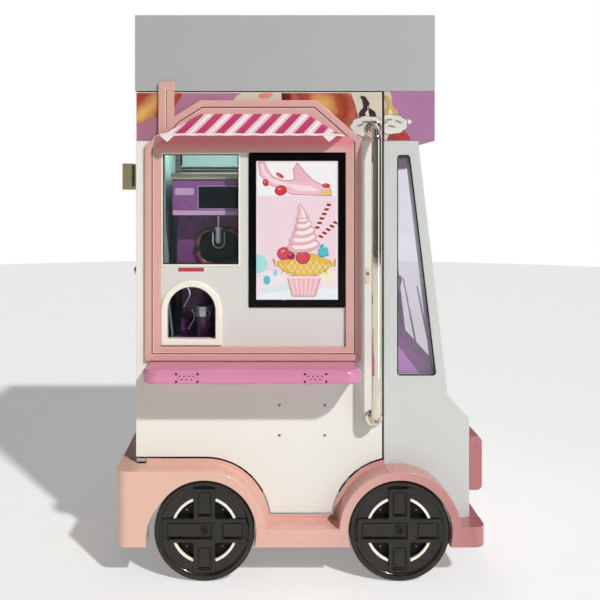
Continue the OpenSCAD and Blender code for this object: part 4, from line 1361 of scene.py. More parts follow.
@dataclass
class ServiceDoor:
    """The hinged side wall with its pivots, screws, print, lock plate and grab rail.

    Args:
        edge: radius of its edges.
        pin_in: distance of the pivot from the rear edge.
        pin_r: radius of the pivot pins.
        tube_r: radius of the grab rail.
        bend: radius of its bends.
        lock: width and height of the lock plate.
    """

    edge: float = 0.0022
    pin_in: float = 0.020
    pin_r: float = 0.008
    tube_r: float = 0.019
    bend: float = 0.057
    lock: Pair = (0.018, 0.059)
    body: str = "service_door"

    def build(self) -> None:
        """Builds the door, its hardware, its print and its rail."""
        box, loops = Box.of("service_door"), flat_loops("service_door", Facing.RIGHT)
        out, back = -box.y0, -box.y1
        shell = Shell().slab(loops, back, out, WHITE, self.edge)
        low, high = loops[0][loops[0][:, 0] < box.x0 + 0.05, 1].min(), loops[0][:, 1].max()
        for z0, z1 in ((box.z0, low + 0.004), (high - 0.004, box.z1)):
            pin = [
                (0.0, z0), (self.pin_r - 0.001, z0), (self.pin_r, z0 + 0.001), (self.pin_r, z1 - 0.001),
                (self.pin_r - 0.001, z1), (0.0, z1),
            ]
            shell.lathe(pin, box.x0 + self.pin_in, (box.y0 + box.y1) / 2, RUBBER, 32, facing=Facing.UP)
        shell.piece("door_leaf", self.body, ("service_door",))
        self.screws([x for x in loops[2:] if abs(area(x)) < 1e-4], out)
        self.lock_plate(box, out)
        self.print_band(box, out, high)
        self.rail()

    def screws(self, holes: list[np.ndarray], out: float) -> None:
        """A button-head screw in each hole of the accessory pattern."""
        shell = Shell()
        for hole in holes:
            u, v = hole.mean(0)
            head = [
                (0.0, -0.004), (0.0026, -0.004), (0.0026, 0.0002), (0.0052, 0.0002), (0.0048, 0.0018),
                (0.0026, 0.0028), (0.0022, 0.0012), (0.0, 0.0012),
            ]
            shell.lathe(head, u, v, SCREW, 24, out)
        shell.piece("accessory_screw_heads", self.body)

    def lock_plate(self, box: Box, out: float) -> None:
        """A small plate with a round lock cylinder beside the rail."""
        u0, v0 = box.x1 - 0.065, Box.of("service_window").z0 - 0.072
        shell = Shell().slab(
            [rect(u0, v0, u0 + self.lock[0], v0 + self.lock[1], 0.003)], out, out + 0.002, PLATE_BEIGE,
            0.001,
        )
        cylinder = [(0.0, 0.0015), (0.006, 0.0015), (0.0058, 0.0035), (0.004, 0.0042), (0.0, 0.0042)]
        shell.lathe(cylinder, u0 + self.lock[0] / 2, v0 + 0.038, SCREW, 24, out)
        shell.piece("lock_plate", self.body)

    def print_band(self, box: Box, out: float, high: float) -> None:
        """The printed band along the door's top."""
        band_z = Box.of("cab_header").z0
        art = BandArt(
            Facing.RIGHT, self.body, (box.x0 + 0.003, band_z), (box.x1 - 0.003, high - 0.003), out
        )
        art.ground(BAND)
        cream = fillet(
            [(box.x0 + 0.395, band_z), (box.x1, band_z), (box.x1, high), (box.x0 + 0.36, high)],
            [0.01, 0.001, 0.001, 0.06],
        )
        art.film(cream, 1, BAND_CREAM)
        slice_edge = np.array([
            [0.0, -0.124], [0.09, -0.0925], [0.14, -0.073], [0.187, 0.0], [0.0, 0.0]
        ]) + [box.x0, high]
        slanting = Slice(
            "slice with golden streak", **SLICE, at=(box.x0 + 0.043, high - 0.065), turn=39.5,
            reach=(0.6, 0.105),
        )
        art.film(fillet(slice_edge, [0.001, 0.05, 0.03, 0.01, 0.001]), 2, slanting)
        art.berry(box.x0 + 0.735, high - 0.045, 0.25, 0.36, 229, 2)
        art.film(ellipse(box.x0 + 0.505, high - 0.012, 0.03, 0.012, 8), 2, BERRY_PALE)
        art.swirl(box.x0 + 0.905, band_z + 0.045, 0.105, CHOCOLATE)
        art.done("band_print_door")

    def rail(self) -> None:
        """A bent chrome tube with turned flanges and their screws."""
        box, door = Box.of("grab_rail"), Box.of("service_door")
        flange_r, tube_r, bend = box.size[0] / 2, self.tube_r, self.bend
        x, wall = box.centre[0], door.y0
        y, z0, z1 = box.y0 + tube_r, box.z0 + flange_r, box.z1 - flange_r
        lower = arc_points((y + bend, z0 + bend), bend, -90, -180, 14)
        upper = arc_points((y + bend, z1 - bend), bend, 180, 90, 14)
        line = np.concatenate([
            [[wall, z0], [wall - 0.012, z0]], lower, upper, [[wall - 0.012, z1], [wall, z1]]
        ])
        path = np.column_stack([np.full(len(line), x), line])
        shell = Shell().tube(path, tube_r, (1, 0, 0), CHROME, 40)
        for z in (z0, z1):
            collar = arc_points((flange_r - 0.006, 0.004), 0.006, -40, 90, 6)
            cup = arc_points((tube_r + 0.007, 0.010 + 0.006), 0.006, 270, 180, 5)
            profile = [
                (0.0, 0.0), (flange_r - 0.001, 0.0), *collar, *cup, (tube_r - 0.002, 0.016), (0.0, 0.016)
            ]
            shell.lathe(profile, x, z, CHROME, 56, -wall)
            for a in (30, 150, 270):
                u, v = x + 0.026 * math.cos(math.radians(a)), z + 0.026 * math.sin(math.radians(a))
                head = [(0.0, 0.0085), (0.0036, 0.0085), (0.003, 0.0112), (0.0, 0.0118)]
                shell.lathe(head, u, v, SCREW, 14, -wall)
        shell.piece("grab_rail_tube", self.body, ("grab_rail",))


@dataclass
class HouseFront:
    """The house-shaped frame with its groove, the white face, the window and the pick-up hatch.

    Args:
        groove_in: distance of the groove from the frame's outer edge.
        groove_w: width of the groove.
        base: thickness under the groove.
        eaves: heights of the left and right eaves over the frame's lower edge.
        slopes: lengths of the left and right roof slopes.
        ridge: height of the flat ridge over the frame's lower edge.
        kink: the two bends of the left slope, from the lower left corner.
        chimney: low and high edge of the chimney from the frame's left edge.
    """

    groove_in: float = 0.0265
    groove_w: float = 0.0045
    base: float = 0.0085
    eaves: Pair = (0.836, 0.862)
    slopes: Pair = (0.216, 0.173)
    ridge: float = 1.014
    kink: tuple[Pair, ...] = ((0.114, 0.950), (0.052, 0.883))
    chimney: Pair = (0.052, 0.114)
    body: str = "service_door"

    def build(self) -> None:
        """Builds the whole front."""
        self.frame_bands()
        self.face()
        self.window()
        self.hatch()

    def house(self) -> np.ndarray:
        """Outline of the house without its chimney."""
        box = Box.of("house_frame")
        x0, x1, z0 = box.x0, box.x1, box.z0
        corners = [
            (x0, z0), (x1, z0), (x1, z0 + self.eaves[1]), (x1 - self.slopes[1], z0 + self.ridge),
            (x0 + self.slopes[0], z0 + self.ridge),
        ]
        corners += [(x0 + a, z0 + b) for a, b in self.kink] + [(x0, z0 + self.eaves[0])]
        return np.array(corners)

    def frame_bands(self) -> None:
        """A base plate, a raised outer band that takes in the chimney, and a raised inner band.

        The base keeps the CAD outline. The groove between the bands has a dark floor, painted shade, and a
        thin light strip along its inner side, a painted highlight.
        """
        box = Box.of("house_frame")
        back, out = -box.y1, -box.y0
        outer, hole = flat_loops("house_frame", Facing.RIGHT)[:2]
        house, start, end = self.house(), self.groove_in, self.groove_in + self.groove_w
        base = back + self.base
        shell = Shell().slab([outer, hole], back, base, PINK)
        line = inset(house, start)
        shell.slab([outer, line], base - 0.001, out, PINK, 0.0035)
        shell.slab([inset(house, end), hole], base - 0.001, out - 0.0015, PINK, 0.003)
        # Dark floor in the groove: painted shade
        shell.slab([line, inset(house, end)], base - 0.001, base + 0.001, GROOVE_SHADE)
        # Light strip along the groove's inner side: painted highlight
        shell.slab(
            [inset(house, end - 0.0002), inset(house, end + 0.002)], base - 0.001, out - 0.0012,
            GROOVE_HIGHLIGHT, 0.0008, 2,
        )
        middle = box.x0 + sum(self.chimney) / 2
        # On the chimney, a light strip and a dark line paint the highlight and the shade of a groove
        slot = rect(middle - 0.0035, box.z0 + 0.905, middle + 0.0035, box.z1 - 0.028, 0.003)
        shell.slab([slot], out - 0.001, out + 0.0004, GROOVE_HIGHLIGHT, 0.0002, 2)
        slot = rect(middle - 0.0002, box.z0 + 0.905, middle + 0.0032, box.z1 - 0.030, 0.0015)
        shell.slab([slot], out - 0.001, out + 0.0007, GROOVE_SHADE, 0.0002, 2)
        shell.piece("house_bands", self.body, ("house_frame",))

    def face(self) -> None:
        """The white panel, greyed as painted shade, with a blank red strip under the window."""
        box = Box.of("face_panel")
        out, back = -box.y0, -box.y1
        sheet = Shell().slab(flat_loops("face_panel", Facing.RIGHT), back, out, FACE_SHADED, 0.0016)
        sheet.piece("face_sheet", self.body, ("face_panel",))
        pane = Box.of("service_window")
        strip = rect(pane.x0 + 0.062, pane.z0 - 0.026, pane.x0 + 0.162, pane.z0 - 0.011, 0.001)
        Shell().slab([strip], out, out + 0.0006, PLATE_RED, 0.0002, 2).piece("blank_strip", self.body)

    def window(self) -> None:
        """A clear pane in a thin white bead with a dark seal inside it."""
        pane, face = Box.of("service_window"), Box.of("face_panel")
        out = -face.y0
        edge = rect(pane.x0, pane.z0, pane.x1, pane.z1)
        shell = Shell().slab(
            [inset(edge, -0.0045), inset(edge, 0.002)], out - 0.001, out + 0.0022, HATCH, 0.0015
        )
        shell.slab([inset(edge, 0.0015), inset(edge, 0.0055)], -pane.y0 - 0.002, out - 0.001, RUBBER, 0.001)
        shell.piece("window_bead", self.body)
        glass = Shell().slab([inset(edge, 0.0016)], -pane.y1, -pane.y0, GLASS, 0.0006, 2)
        glass.piece("window_pane", self.body, ("service_window",))

    def hatch(self) -> None:
        """The arched ring with a round outer edge and a stepped inner one."""
        ring, face = Box.of("hatch_ring"), Box.of("face_panel")
        outer, inner = flat_loops("hatch_ring", Facing.RIGHT)[:2]
        hole = inner[::-1] if area(inner) < 0 else inner
        out, flat = -ring.y0, -face.y0
        shell = Shell().slab([outer, hole], flat, out, HATCH, 0.0045, 4)
        shell.slab([inset(hole, -0.0058), hole], -ring.y1, flat + 0.001, HATCH, 0.001)
        shell.piece("hatch_arch", self.body, ("hatch_ring",))


@dataclass
class Awning:
    """Striped cloth canopy: a leaning front, two side gores, a rolled rim and folded corners.

    Args:
        lean: how far the upper edge is in from the left and right ends of the rim.
        tail: how far the lower back edge stands beyond the rim's ends.
        sag: depth of the cloth's hollow between its edges.
        rim_r: radius of the rolled rim.
        flap: width and drop of a folded corner.
    """

    lean: Pair = (0.148, 0.104)
    tail: Pair = (0.026, 0.039)
    sag: float = 0.004
    rim_r: float = 0.0045
    flap: Pair = (0.052, 0.024)
    body: str = "service_door"

    def build(self) -> None:
        """Builds the canopy as a closed cloth shell with its rim and corners."""
        box, front = Box.of("awning"), -Box.of("house_frame").y0
        x0, x1 = box.x0 + self.tail[0], box.x1 - self.tail[1]
        z0, z1, reach = box.z0 + self.rim_r, box.z1, -box.y0 - self.rim_r
        u, v = np.meshgrid(np.linspace(0, 1, 61), np.linspace(0, 1, 13), indexing="ij")
        left, right = x0 + self.lean[0] * v, x1 - self.lean[1] * v
        hollow = self.sag * np.sin(math.pi * v) * (1 + 0.25 * np.sin(9 * math.pi * u))
        wide = left + (right - left) * u
        sheet = np.stack(
            [wide, -(reach + (front - reach) * v - hollow), z0 + (z1 - z0) * v - 0.6 * hollow], 2
        )
        inner = sheet + [0.0, 0.0008, -0.0008]
        shell = Shell()
        ring = np.concatenate([sheet, inner[:, ::-1]], 1)
        shell.grid(ring, AWNING, (False, True))
        for k in (0, -1):
            shell.grid(np.stack([sheet[k], inner[k]]), AWNING)
        gores, slope = 0.0, math.hypot(z1 - z0, reach - front)
        for end, x_tail in ((0, box.x0), (-1, box.x1)):
            edge = sheet[end]
            foot = np.array([x_tail, -front, box.z0])
            k = np.linspace(0, 1, 5)[:, None, None]
            gore = edge[None] * (1 - k) + foot * k
            thick = np.array([0.0009 if end == 0 else -0.0009, 0.0, -0.0006])
            gores += float(np.linalg.norm(np.cross(edge[-1] - edge[0], foot - edge[0]))) / 2
            ring = np.concatenate([gore, (gore + thick)[::-1]])
            shell.grid(ring, AWNING, (True, False))
            for column in (0, -1):
                shell.grid(np.stack([gore[:, column], (gore + thick)[:, column]]), AWNING)
        cloth = shell.piece("awning_cloth", self.body, ("awning",), 40)
        weld = cloth.modifiers.new("seams", "WELD")
        weld.merge_threshold = 0.0001
        cloth.modifiers.move(len(cloth.modifiers) - 1, 0)
        trim = Shell()
        line = np.linspace(x0 - 0.004, x1 + 0.004, 60)
        wave = 0.0008 * np.sin(line * 95)
        trim.tube(
            np.column_stack([line, np.full(60, -reach), z0 + wave]), self.rim_r, (0, 0, 1), AWNING_RIM, 14
        )
        for sign, x, x_tail in ((1, x0, box.x0), (-1, x1, box.x1)):
            corner = np.array([
                [x - 0.012 * sign, 0.0], [x + self.flap[0] * 0.42 * sign, -self.flap[1] * 1.15],
                [x + self.flap[0] * sign, 0.0],
            ])
            loop = fillet(corner, 0.003) + [0.0, z0]
            trim.slab([loop], reach - 0.002, reach + 0.0025, AWNING_RIM, 0.001, 2)
            tail = np.linspace([x, -reach, z0], [x_tail, -front - 0.001, z0], 6)
            trim.tube(tail, self.rim_r * 0.8, (0, 0, 1), AWNING_RIM, 12)
        rim = trim.piece("awning_rim", self.body)
        rest = (box.x1 - box.x0, slope)
        area_flat = slope * (x1 - x0 - sum(self.lean) / 2) + gores
        log.info("awning cut %.3f by %.3f m, %.4f square metres", *rest, area_flat)
        face, house = Box.of("face_panel"), Box.of("house_frame")
        # A sheet over the frame band below the awning, redder at the top: painted red bounce light from the
        # awning
        header = rect(house.x0 + 0.0325, face.z1 - 0.0095, house.x1 - 0.0325, z0 - 0.001)
        lining = Shell().slab([header], front - 0.003, front - 0.0009, HEADER_BOUNCE)
        lining.piece("awning_header_painted_bounce", self.body)


@dataclass
class Display:
    """The upright display: a gloss housing, and a lit picture of a sundae made of flat shapes.

    Args:
        border: widths of the dark border at the left, bottom, right and top.
        depth: how far the picture lies behind the housing's face.
    """

    border: tuple[float, float, float, float] = (0.029, 0.030, 0.028, 0.032)
    depth: float = 0.0058
    body: str = "service_door"
    shell: Shell = field(default_factory=Shell)

    def build(self) -> None:
        """Builds the housing and the picture."""
        box = Box.of("display_screen")
        out, back = -box.y0, -box.y1
        edge = rect(box.x0, box.z0, box.x1, box.z1, 0.007)
        self.low = np.array([box.x0 + self.border[0], box.z0 + self.border[1]])
        self.high = np.array([box.x1 - self.border[2], box.z1 - self.border[3]])
        lit = rect(*self.low, *self.high)
        housing = Shell().slab([edge, lit], back, out, GLOSS, 0.003)
        housing.slab([inset(edge, 0.002)], back, out - self.depth - 0.0002, GLOSS)
        housing.piece("display_housing", self.body, ("display_screen",))
        self.level = out - self.depth
        self.picture()
        self.shell.piece("display_picture", self.body, (), 20)

    def ink(self, loop: np.ndarray, layer: int, colour: str) -> None:
        """Adds a shape in the picture's own units, from (0, 0) at the lower left to (1, 1.7)."""
        scale = self.high[0] - self.low[0]
        loop = simplify(held(loop * scale + self.low, self.low + 0.0004, self.high - 0.0004))
        w = self.level + layer * FILM
        self.shell.slab([loop], w - 0.0001, w + FILM, screen_ink(colour))

    def lobe(
        self, u: float, v: float, a: float, b: float, turn: float, layer: int, light: str = "#FBEDEA"
    ) -> None:
        """One turn of soft ice: a rim, a body and a lit streak, each a smaller turned ellipse."""
        self.ink(ellipse(u, v, a, b, turn), layer, "#B9818C")
        self.ink(ellipse(u, v, a * 0.965, b * 0.92, turn), layer + 1, "#EBB7BD")
        self.ink(ellipse(u + a * 0.10, v + b * 0.10, a * 0.78, b * 0.55, turn), layer + 2, light)

    def picture(self) -> None:
        """Pale ground, a ribbon of cream above, and a sundae in a striped cup below."""
        top = (self.high[1] - self.low[1]) / (self.high[0] - self.low[0])
        for v0, v1, layer, colour in (
            (0, top, 0, "#F4E6EA"), (1.27, top - 0.02, 1, "#F6F4F4"), (0.35, 1.27, 1, "#F3D9E2")
        ):
            side = 0.02 if layer else 0
            self.ink(rect(side, v0, 0.97 if layer else 1, v1), layer, colour)
        for u, v, a, b, turn, layer, colour in (
            (0.02, 0.44, 0.12, 0.115, 0, 2, "#A9E0DE"),
            (0.13, 0.24, 0.042, 0.055, 0, 2, "#5CC3D2"),
            (0.235, 0.33, 0.026, 0.038, 0, 2, "#8FD6E0"),
            (0.86, 0.30, 0.09, 0.07, 0, 2, "#F6EFCB"),
            (0.55, 0.02, 0.62, 0.11, 4, 2, "#EDF4F7"),
            (0.30, 0.15, 0.26, 0.035, 10, 3, "#DCEBF2"),
        ):
            self.ink(ellipse(u, v, a, b, turn), layer, colour)
        self.ribbon()
        self.straws()
        self.sundae()

    def ribbon(self) -> None:
        """A splash of pink cream with berries across the picture's upper part."""
        curve = np.array([
            [0.03, 1.68], [0.05, 1.53], [0.16, 1.41], [0.30, 1.36], [0.44, 1.29], [0.92, 1.275],
            [0.90, 1.36], [0.70, 1.45], [0.60, 1.55], [0.50, 1.67], [0.46, 1.60], [0.47, 1.46],
            [0.34, 1.45], [0.20, 1.50], [0.13, 1.60], [0.10, 1.68],
        ])
        self.ink(fillet(inset(curve, -0.008), 0.02, 5), 2, "#B5707C")
        self.ink(fillet(curve, 0.02, 5), 3, "#F1C3CB")
        gloss = np.array([
            [0.06, 1.66], [0.08, 1.54], [0.20, 1.43], [0.42, 1.38], [0.50, 1.33], [0.80, 1.33],
            [0.66, 1.39], [0.52, 1.40], [0.40, 1.42], [0.20, 1.47], [0.11, 1.56], [0.08, 1.66],
        ])
        self.ink(fillet(gloss, 0.01, 4), 4, "#FADFE2")
        peak = np.array([
            [0.47, 1.46], [0.52, 1.44], [0.70, 1.44], [0.62, 1.53], [0.50, 1.66], [0.465, 1.62]
        ])
        self.ink(fillet(peak, 0.018, 4), 5, "#EFB9C6")
        for u, v, a, b, turn in (
            (0.30, 1.335, 0.075, 0.062, 10), (0.115, 1.43, 0.036, 0.045, 20),
            (0.855, 1.395, 0.05, 0.028, -4), (0.29, 1.52, 0.055, 0.022, -32),
        ):
            self.ink(ellipse(u, v, a, b, turn), 5, "#8E2230")
            self.ink(ellipse(u, v, a * 0.9, b * 0.88, turn), 6, "#D5414B")
            self.ink(ellipse(u - a * 0.25, v + b * 0.3, a * 0.28, b * 0.2, turn), 7, "#F2949B")
        self.ink(ellipse(0.86, 1.31, 0.075, 0.035, 6), 4, "#E6C77C")

    def straws(self) -> None:
        """Two straws with slanting stripes: each stripe is a slice of the straw's own rectangle."""
        for u, v, length, turn in ((0.735, 0.86, 0.34, -27), (0.77, 0.755, 0.32, -47)):
            self.ink(turned(rect(-0.026, 0, 0.026, length, 0.006), turn) + [u, v], 3, "#F7E7E9")
            for k in np.arange(0.0, length - 0.03, 0.062):
                band = np.array([[-0.026, k], [0.026, k + 0.018], [0.026, k + 0.052], [-0.026, k + 0.034]])
                self.ink(turned(band, turn) + [u, v], 4, "#B3303F")

    def sundae(self) -> None:
        """Cup, waffle bowl, berries and a swirl of soft ice."""
        cup = np.array([[0.44, 0.045], [0.72, 0.045], [0.79, 0.29], [0.38, 0.29]])
        self.ink(fillet(inset(cup, -0.008), 0.035), 4, "#B7868C")
        self.ink(fillet(cup, 0.03), 5, "#F2B9BF")
        for k in np.linspace(0.0, 1.0, 7)[:-1] + 0.04:
            a, b = 0.45 + 0.26 * k, 0.39 + 0.39 * k
            self.ink(np.array([[a, 0.06], [a + 0.018, 0.06], [b + 0.026, 0.275], [b, 0.275]]), 6, "#F8D5D7")
        self.ink(rect(0.375, 0.262, 0.795, 0.288, 0.008), 7, "#FAE3E4")
        t = np.linspace(0, 2 * math.pi, 90, endpoint=False)
        rough = 1 + 0.035 * np.sin(13 * t) + 0.02 * np.sin(29 * t + 1)
        wavy = 0.145 * rough * np.sin(t) - 0.06 * np.cos(t) ** 2 * np.sign(np.sin(t) - 0.2)
        bowl = np.stack([0.375 * rough * np.cos(t), wavy], 1)
        self.ink(bowl + [0.59, 0.43], 6, "#B98A35")
        self.ink(bowl * 0.965 + [0.59, 0.43], 7, "#E9C05C")
        self.ink(bowl * [0.8, 0.62] + [0.60, 0.40], 8, "#F1D283")
        for k in range(7):
            for layer, turn in ((9, 34), (10, -34)):
                line = turned(rect(-0.004, -0.11, 0.004, 0.10), turn) + [0.36 + 0.075 * k, 0.40]
                self.ink(line, layer, "#D6A544")
        for u, v, a in ((0.34, 0.565, 0.085), (0.425, 0.535, 0.05), (0.57, 0.515, 0.085)):
            self.ink(ellipse(u, v, a, a * 0.92), 11, "#8D2740")
            self.ink(ellipse(u, v, a * 0.9, a * 0.82), 12, "#D45361" if a > 0.06 else "#A32C66")
            self.ink(ellipse(u - a * 0.2, v + a * 0.35, a * 0.3, a * 0.16, 20), 13, "#F19AA0")
        self.ink(turned(rect(-0.06, -0.055, 0.06, 0.055, 0.02), 12) + [0.82, 0.58], 11, "#2E9FB0")
        self.ink(turned(rect(-0.052, -0.047, 0.052, 0.047, 0.018), 12) + [0.82, 0.585], 12, "#57C5D0")
        self.ink(ellipse(0.80, 0.655, 0.03, 0.02, 30), 13, "#3FB2C2")
        rounds = (
            (0.575, 0.660, 0.200, 0.082, 8), (0.570, 0.745, 0.172, 0.076, 10),
            (0.580, 0.830, 0.142, 0.072, 12), (0.575, 0.910, 0.108, 0.066, 14),
            (0.570, 0.985, 0.076, 0.060, 18),
        )
        for i, (u, v, a, b, turn) in enumerate(rounds):
            self.lobe(u, v, a, b, turn, 14 + 3 * i)
        tip = np.array([
            [0.50, 0.99], [0.63, 1.00], [0.585, 1.10], [0.535, 1.17], [0.515, 1.15], [0.53, 1.08]
        ])
        self.ink(fillet(inset(tip, -0.006), 0.008, 4), 29, "#B9818C")
        self.ink(fillet(tip, 0.008, 4), 30, "#F3CDD0")
        self.ink(ellipse(0.575, 1.045, 0.014, 0.055, 14), 31, "#FCF1EF")
        drip = np.array([
            [0.49, 0.55], [0.66, 0.56], [0.67, 0.50], [0.64, 0.52], [0.61, 0.46], [0.57, 0.49], [0.53, 0.44]
        ])
        self.ink(fillet(drip, 0.012, 4), 14, "#D9515F")


@dataclass
class Counter:
    """The counter shelf with two groups of small holes in its front edge, each a black disc of painted
    shade.

    Args:
        edge: radius of its upper and lower edge.
        groups: middle of each group of holes from the shelf's left end.
        spread: width and height between a group's four large holes.
    """

    edge: Pair = (0.018, 0.007)
    groups: Pair = (0.1705, 0.645)
    spread: Pair = (0.079, 0.028)
    body: str = "service_door"

    def build(self) -> None:
        """Builds the shelf and its holes."""
        box, under = Box.of("counter_shelf"), inset(flat_loops("counter_shelf", Facing.DOWN)[0], 0.0005)
        middle = (box.z0 + box.z1) / 2
        leaf = Shell().slab([under * [1, -1]], middle, box.z1, ORCHID, self.edge[0], 5, facing=Facing.UP)
        leaf.slab([under], -middle, -box.z0, ORCHID, self.edge[1], 4, facing=Facing.DOWN)
        leaf.piece("counter_leaf", self.body, ("counter_shelf",))
        out, v0 = -box.y0 - 0.0005, box.z0 + 0.025
        shell = Shell()
        for at in self.groups:
            u0 = box.x0 + at
            spots = [
                (u0 + a * self.spread[0] / 2, v0 + b * self.spread[1] / 2, 0.0036)
                for a in (-1, 1)
                for b in (-1, 1)
            ]
            spots += [(u0 + 0.0175 * (k - 1.5) - 0.001, v0 + 0.006, 0.0019) for k in range(4)]
            spots += [(u0 + 0.0175 * (k - 1.0) - 0.001, v0 - 0.006, 0.0019) for k in range(3)]
            # Each hole is a black disc in a small rim: painted shade of the hole
            for u, v, r in spots:
                ring = [
                    (0.0, -0.001), (r + 0.0008, -0.001), (r + 0.0008, 0.0002), (r, 0.0004),
                    (r - 0.0004, 0.0001), (0.0, 0.0001),
                ]
                shell.lathe(ring, u, v, BLACK_AND_HOLE_SHADE, 18, out)
        shell.piece("counter_hole_shade", self.body)


@dataclass
class RearDoor:
    """The rear door with louvres, a domed knob, a slotted bracket and hinge knuckles.

    Args:
        louvres: number of louvres in each group.
        pitch: distance from one louvre to the next.
        louvre: half length, rise and height of a louvre.
    """

    louvres: int = 9
    pitch: float = 0.026
    louvre: tuple[float, float, float] = (0.20, 0.011, 0.017)
    body: str = "rear_door"

    def build(self) -> None:
        """Builds the door and what is on it."""
        soft_copy("rear_door", self.body, WHITE, 0.0025)
        # The bracket's lightened colour is painted light
        soft_copy("rear_bracket", self.body, BRONZE_LIT, 0.002)
        self.vents()
        self.knob()

    def vents(self) -> None:
        """Two groups of pressed louvres: each one is a quarter of a tube with closed ends.

        A louvre's section goes down by p (1 - cos a) while it rises by h sin a, and h falls to
        nothing towards its ends by the sixth power of the distance from the middle.
        """
        box = Box.of("rear_door")
        face, middle, (half, lift, tall) = -box.x0, -(box.y0 + box.y1) / 2, self.louvre
        shell = Shell()
        s, a = np.linspace(-1, 1, 25), np.linspace(0, math.pi / 2, 6)
        for base in (box.z0 + 0.16, box.z0 + 0.98):
            for k in range(self.louvres):
                z = base + k * self.pitch
                rise = lift * (1 - s**6)[:, None] * np.sin(a)[None]
                fall = tall * (1 - np.cos(a))[None] * np.ones_like(s)[:, None]
                top = np.stack(
                    [np.repeat((middle + half * s)[:, None], 6, 1), z + tall - fall, face + rise - 0.0005],
                    2,
                )
                floor = np.stack([top[..., 0], top[..., 1], np.full_like(rise, face - 0.001)], 2)
                ring = np.concatenate([top, floor[:, ::-1]], 1)
                shell.grid(Facing.BACK.world(ring), WHITE, (False, True))
        for z in (box.z0 + 0.15, (box.z0 + box.z1) / 2, box.z1 - 0.15):
            knuckle = [
                (0.0, z - 0.045), (0.0065, z - 0.045), (0.008, z - 0.043), (0.008, z + 0.043),
                (0.0065, z + 0.045), (0.0, z + 0.045),
            ]
            shell.lathe(knuckle, box.x0 - 0.004, box.y1 - 0.012, STEEL, 24, facing=Facing.UP)
            shell.slab(
                [rect(-box.y1 + 0.004, z - 0.04, -box.y1 + 0.055, z + 0.04, 0.004)], face, face + 0.0025,
                STEEL, 0.001, facing=Facing.BACK,
            )
        shell.piece("rear_door_hardware", self.body)

    def knob(self) -> None:
        """A domed knob on a rose, turned from a smooth profile."""
        box = Box.of("rear_knob")
        v, u, r = box.centre[2], -box.centre[1], box.size[2] / 2
        base, tip = -box.x1, -box.x0
        t = np.linspace(0, math.pi / 2, 16)
        dome = np.stack([0.94 * r * np.cos(t), base + 0.008 + (tip - base - 0.008) * np.sin(t)], 1)
        rose = [
            (0.0, base), (r, base), (r, base + 0.003), (r * 0.96, base + 0.0045), (r * 0.82, base + 0.005),
            (r * 0.82, base + 0.0075),
        ]
        knob = Shell().lathe([*rose, *dome], u, v, BRASS_LIT, 48, facing=Facing.BACK)
        knob.piece("rear_knob_turned", self.body, ("rear_knob",))


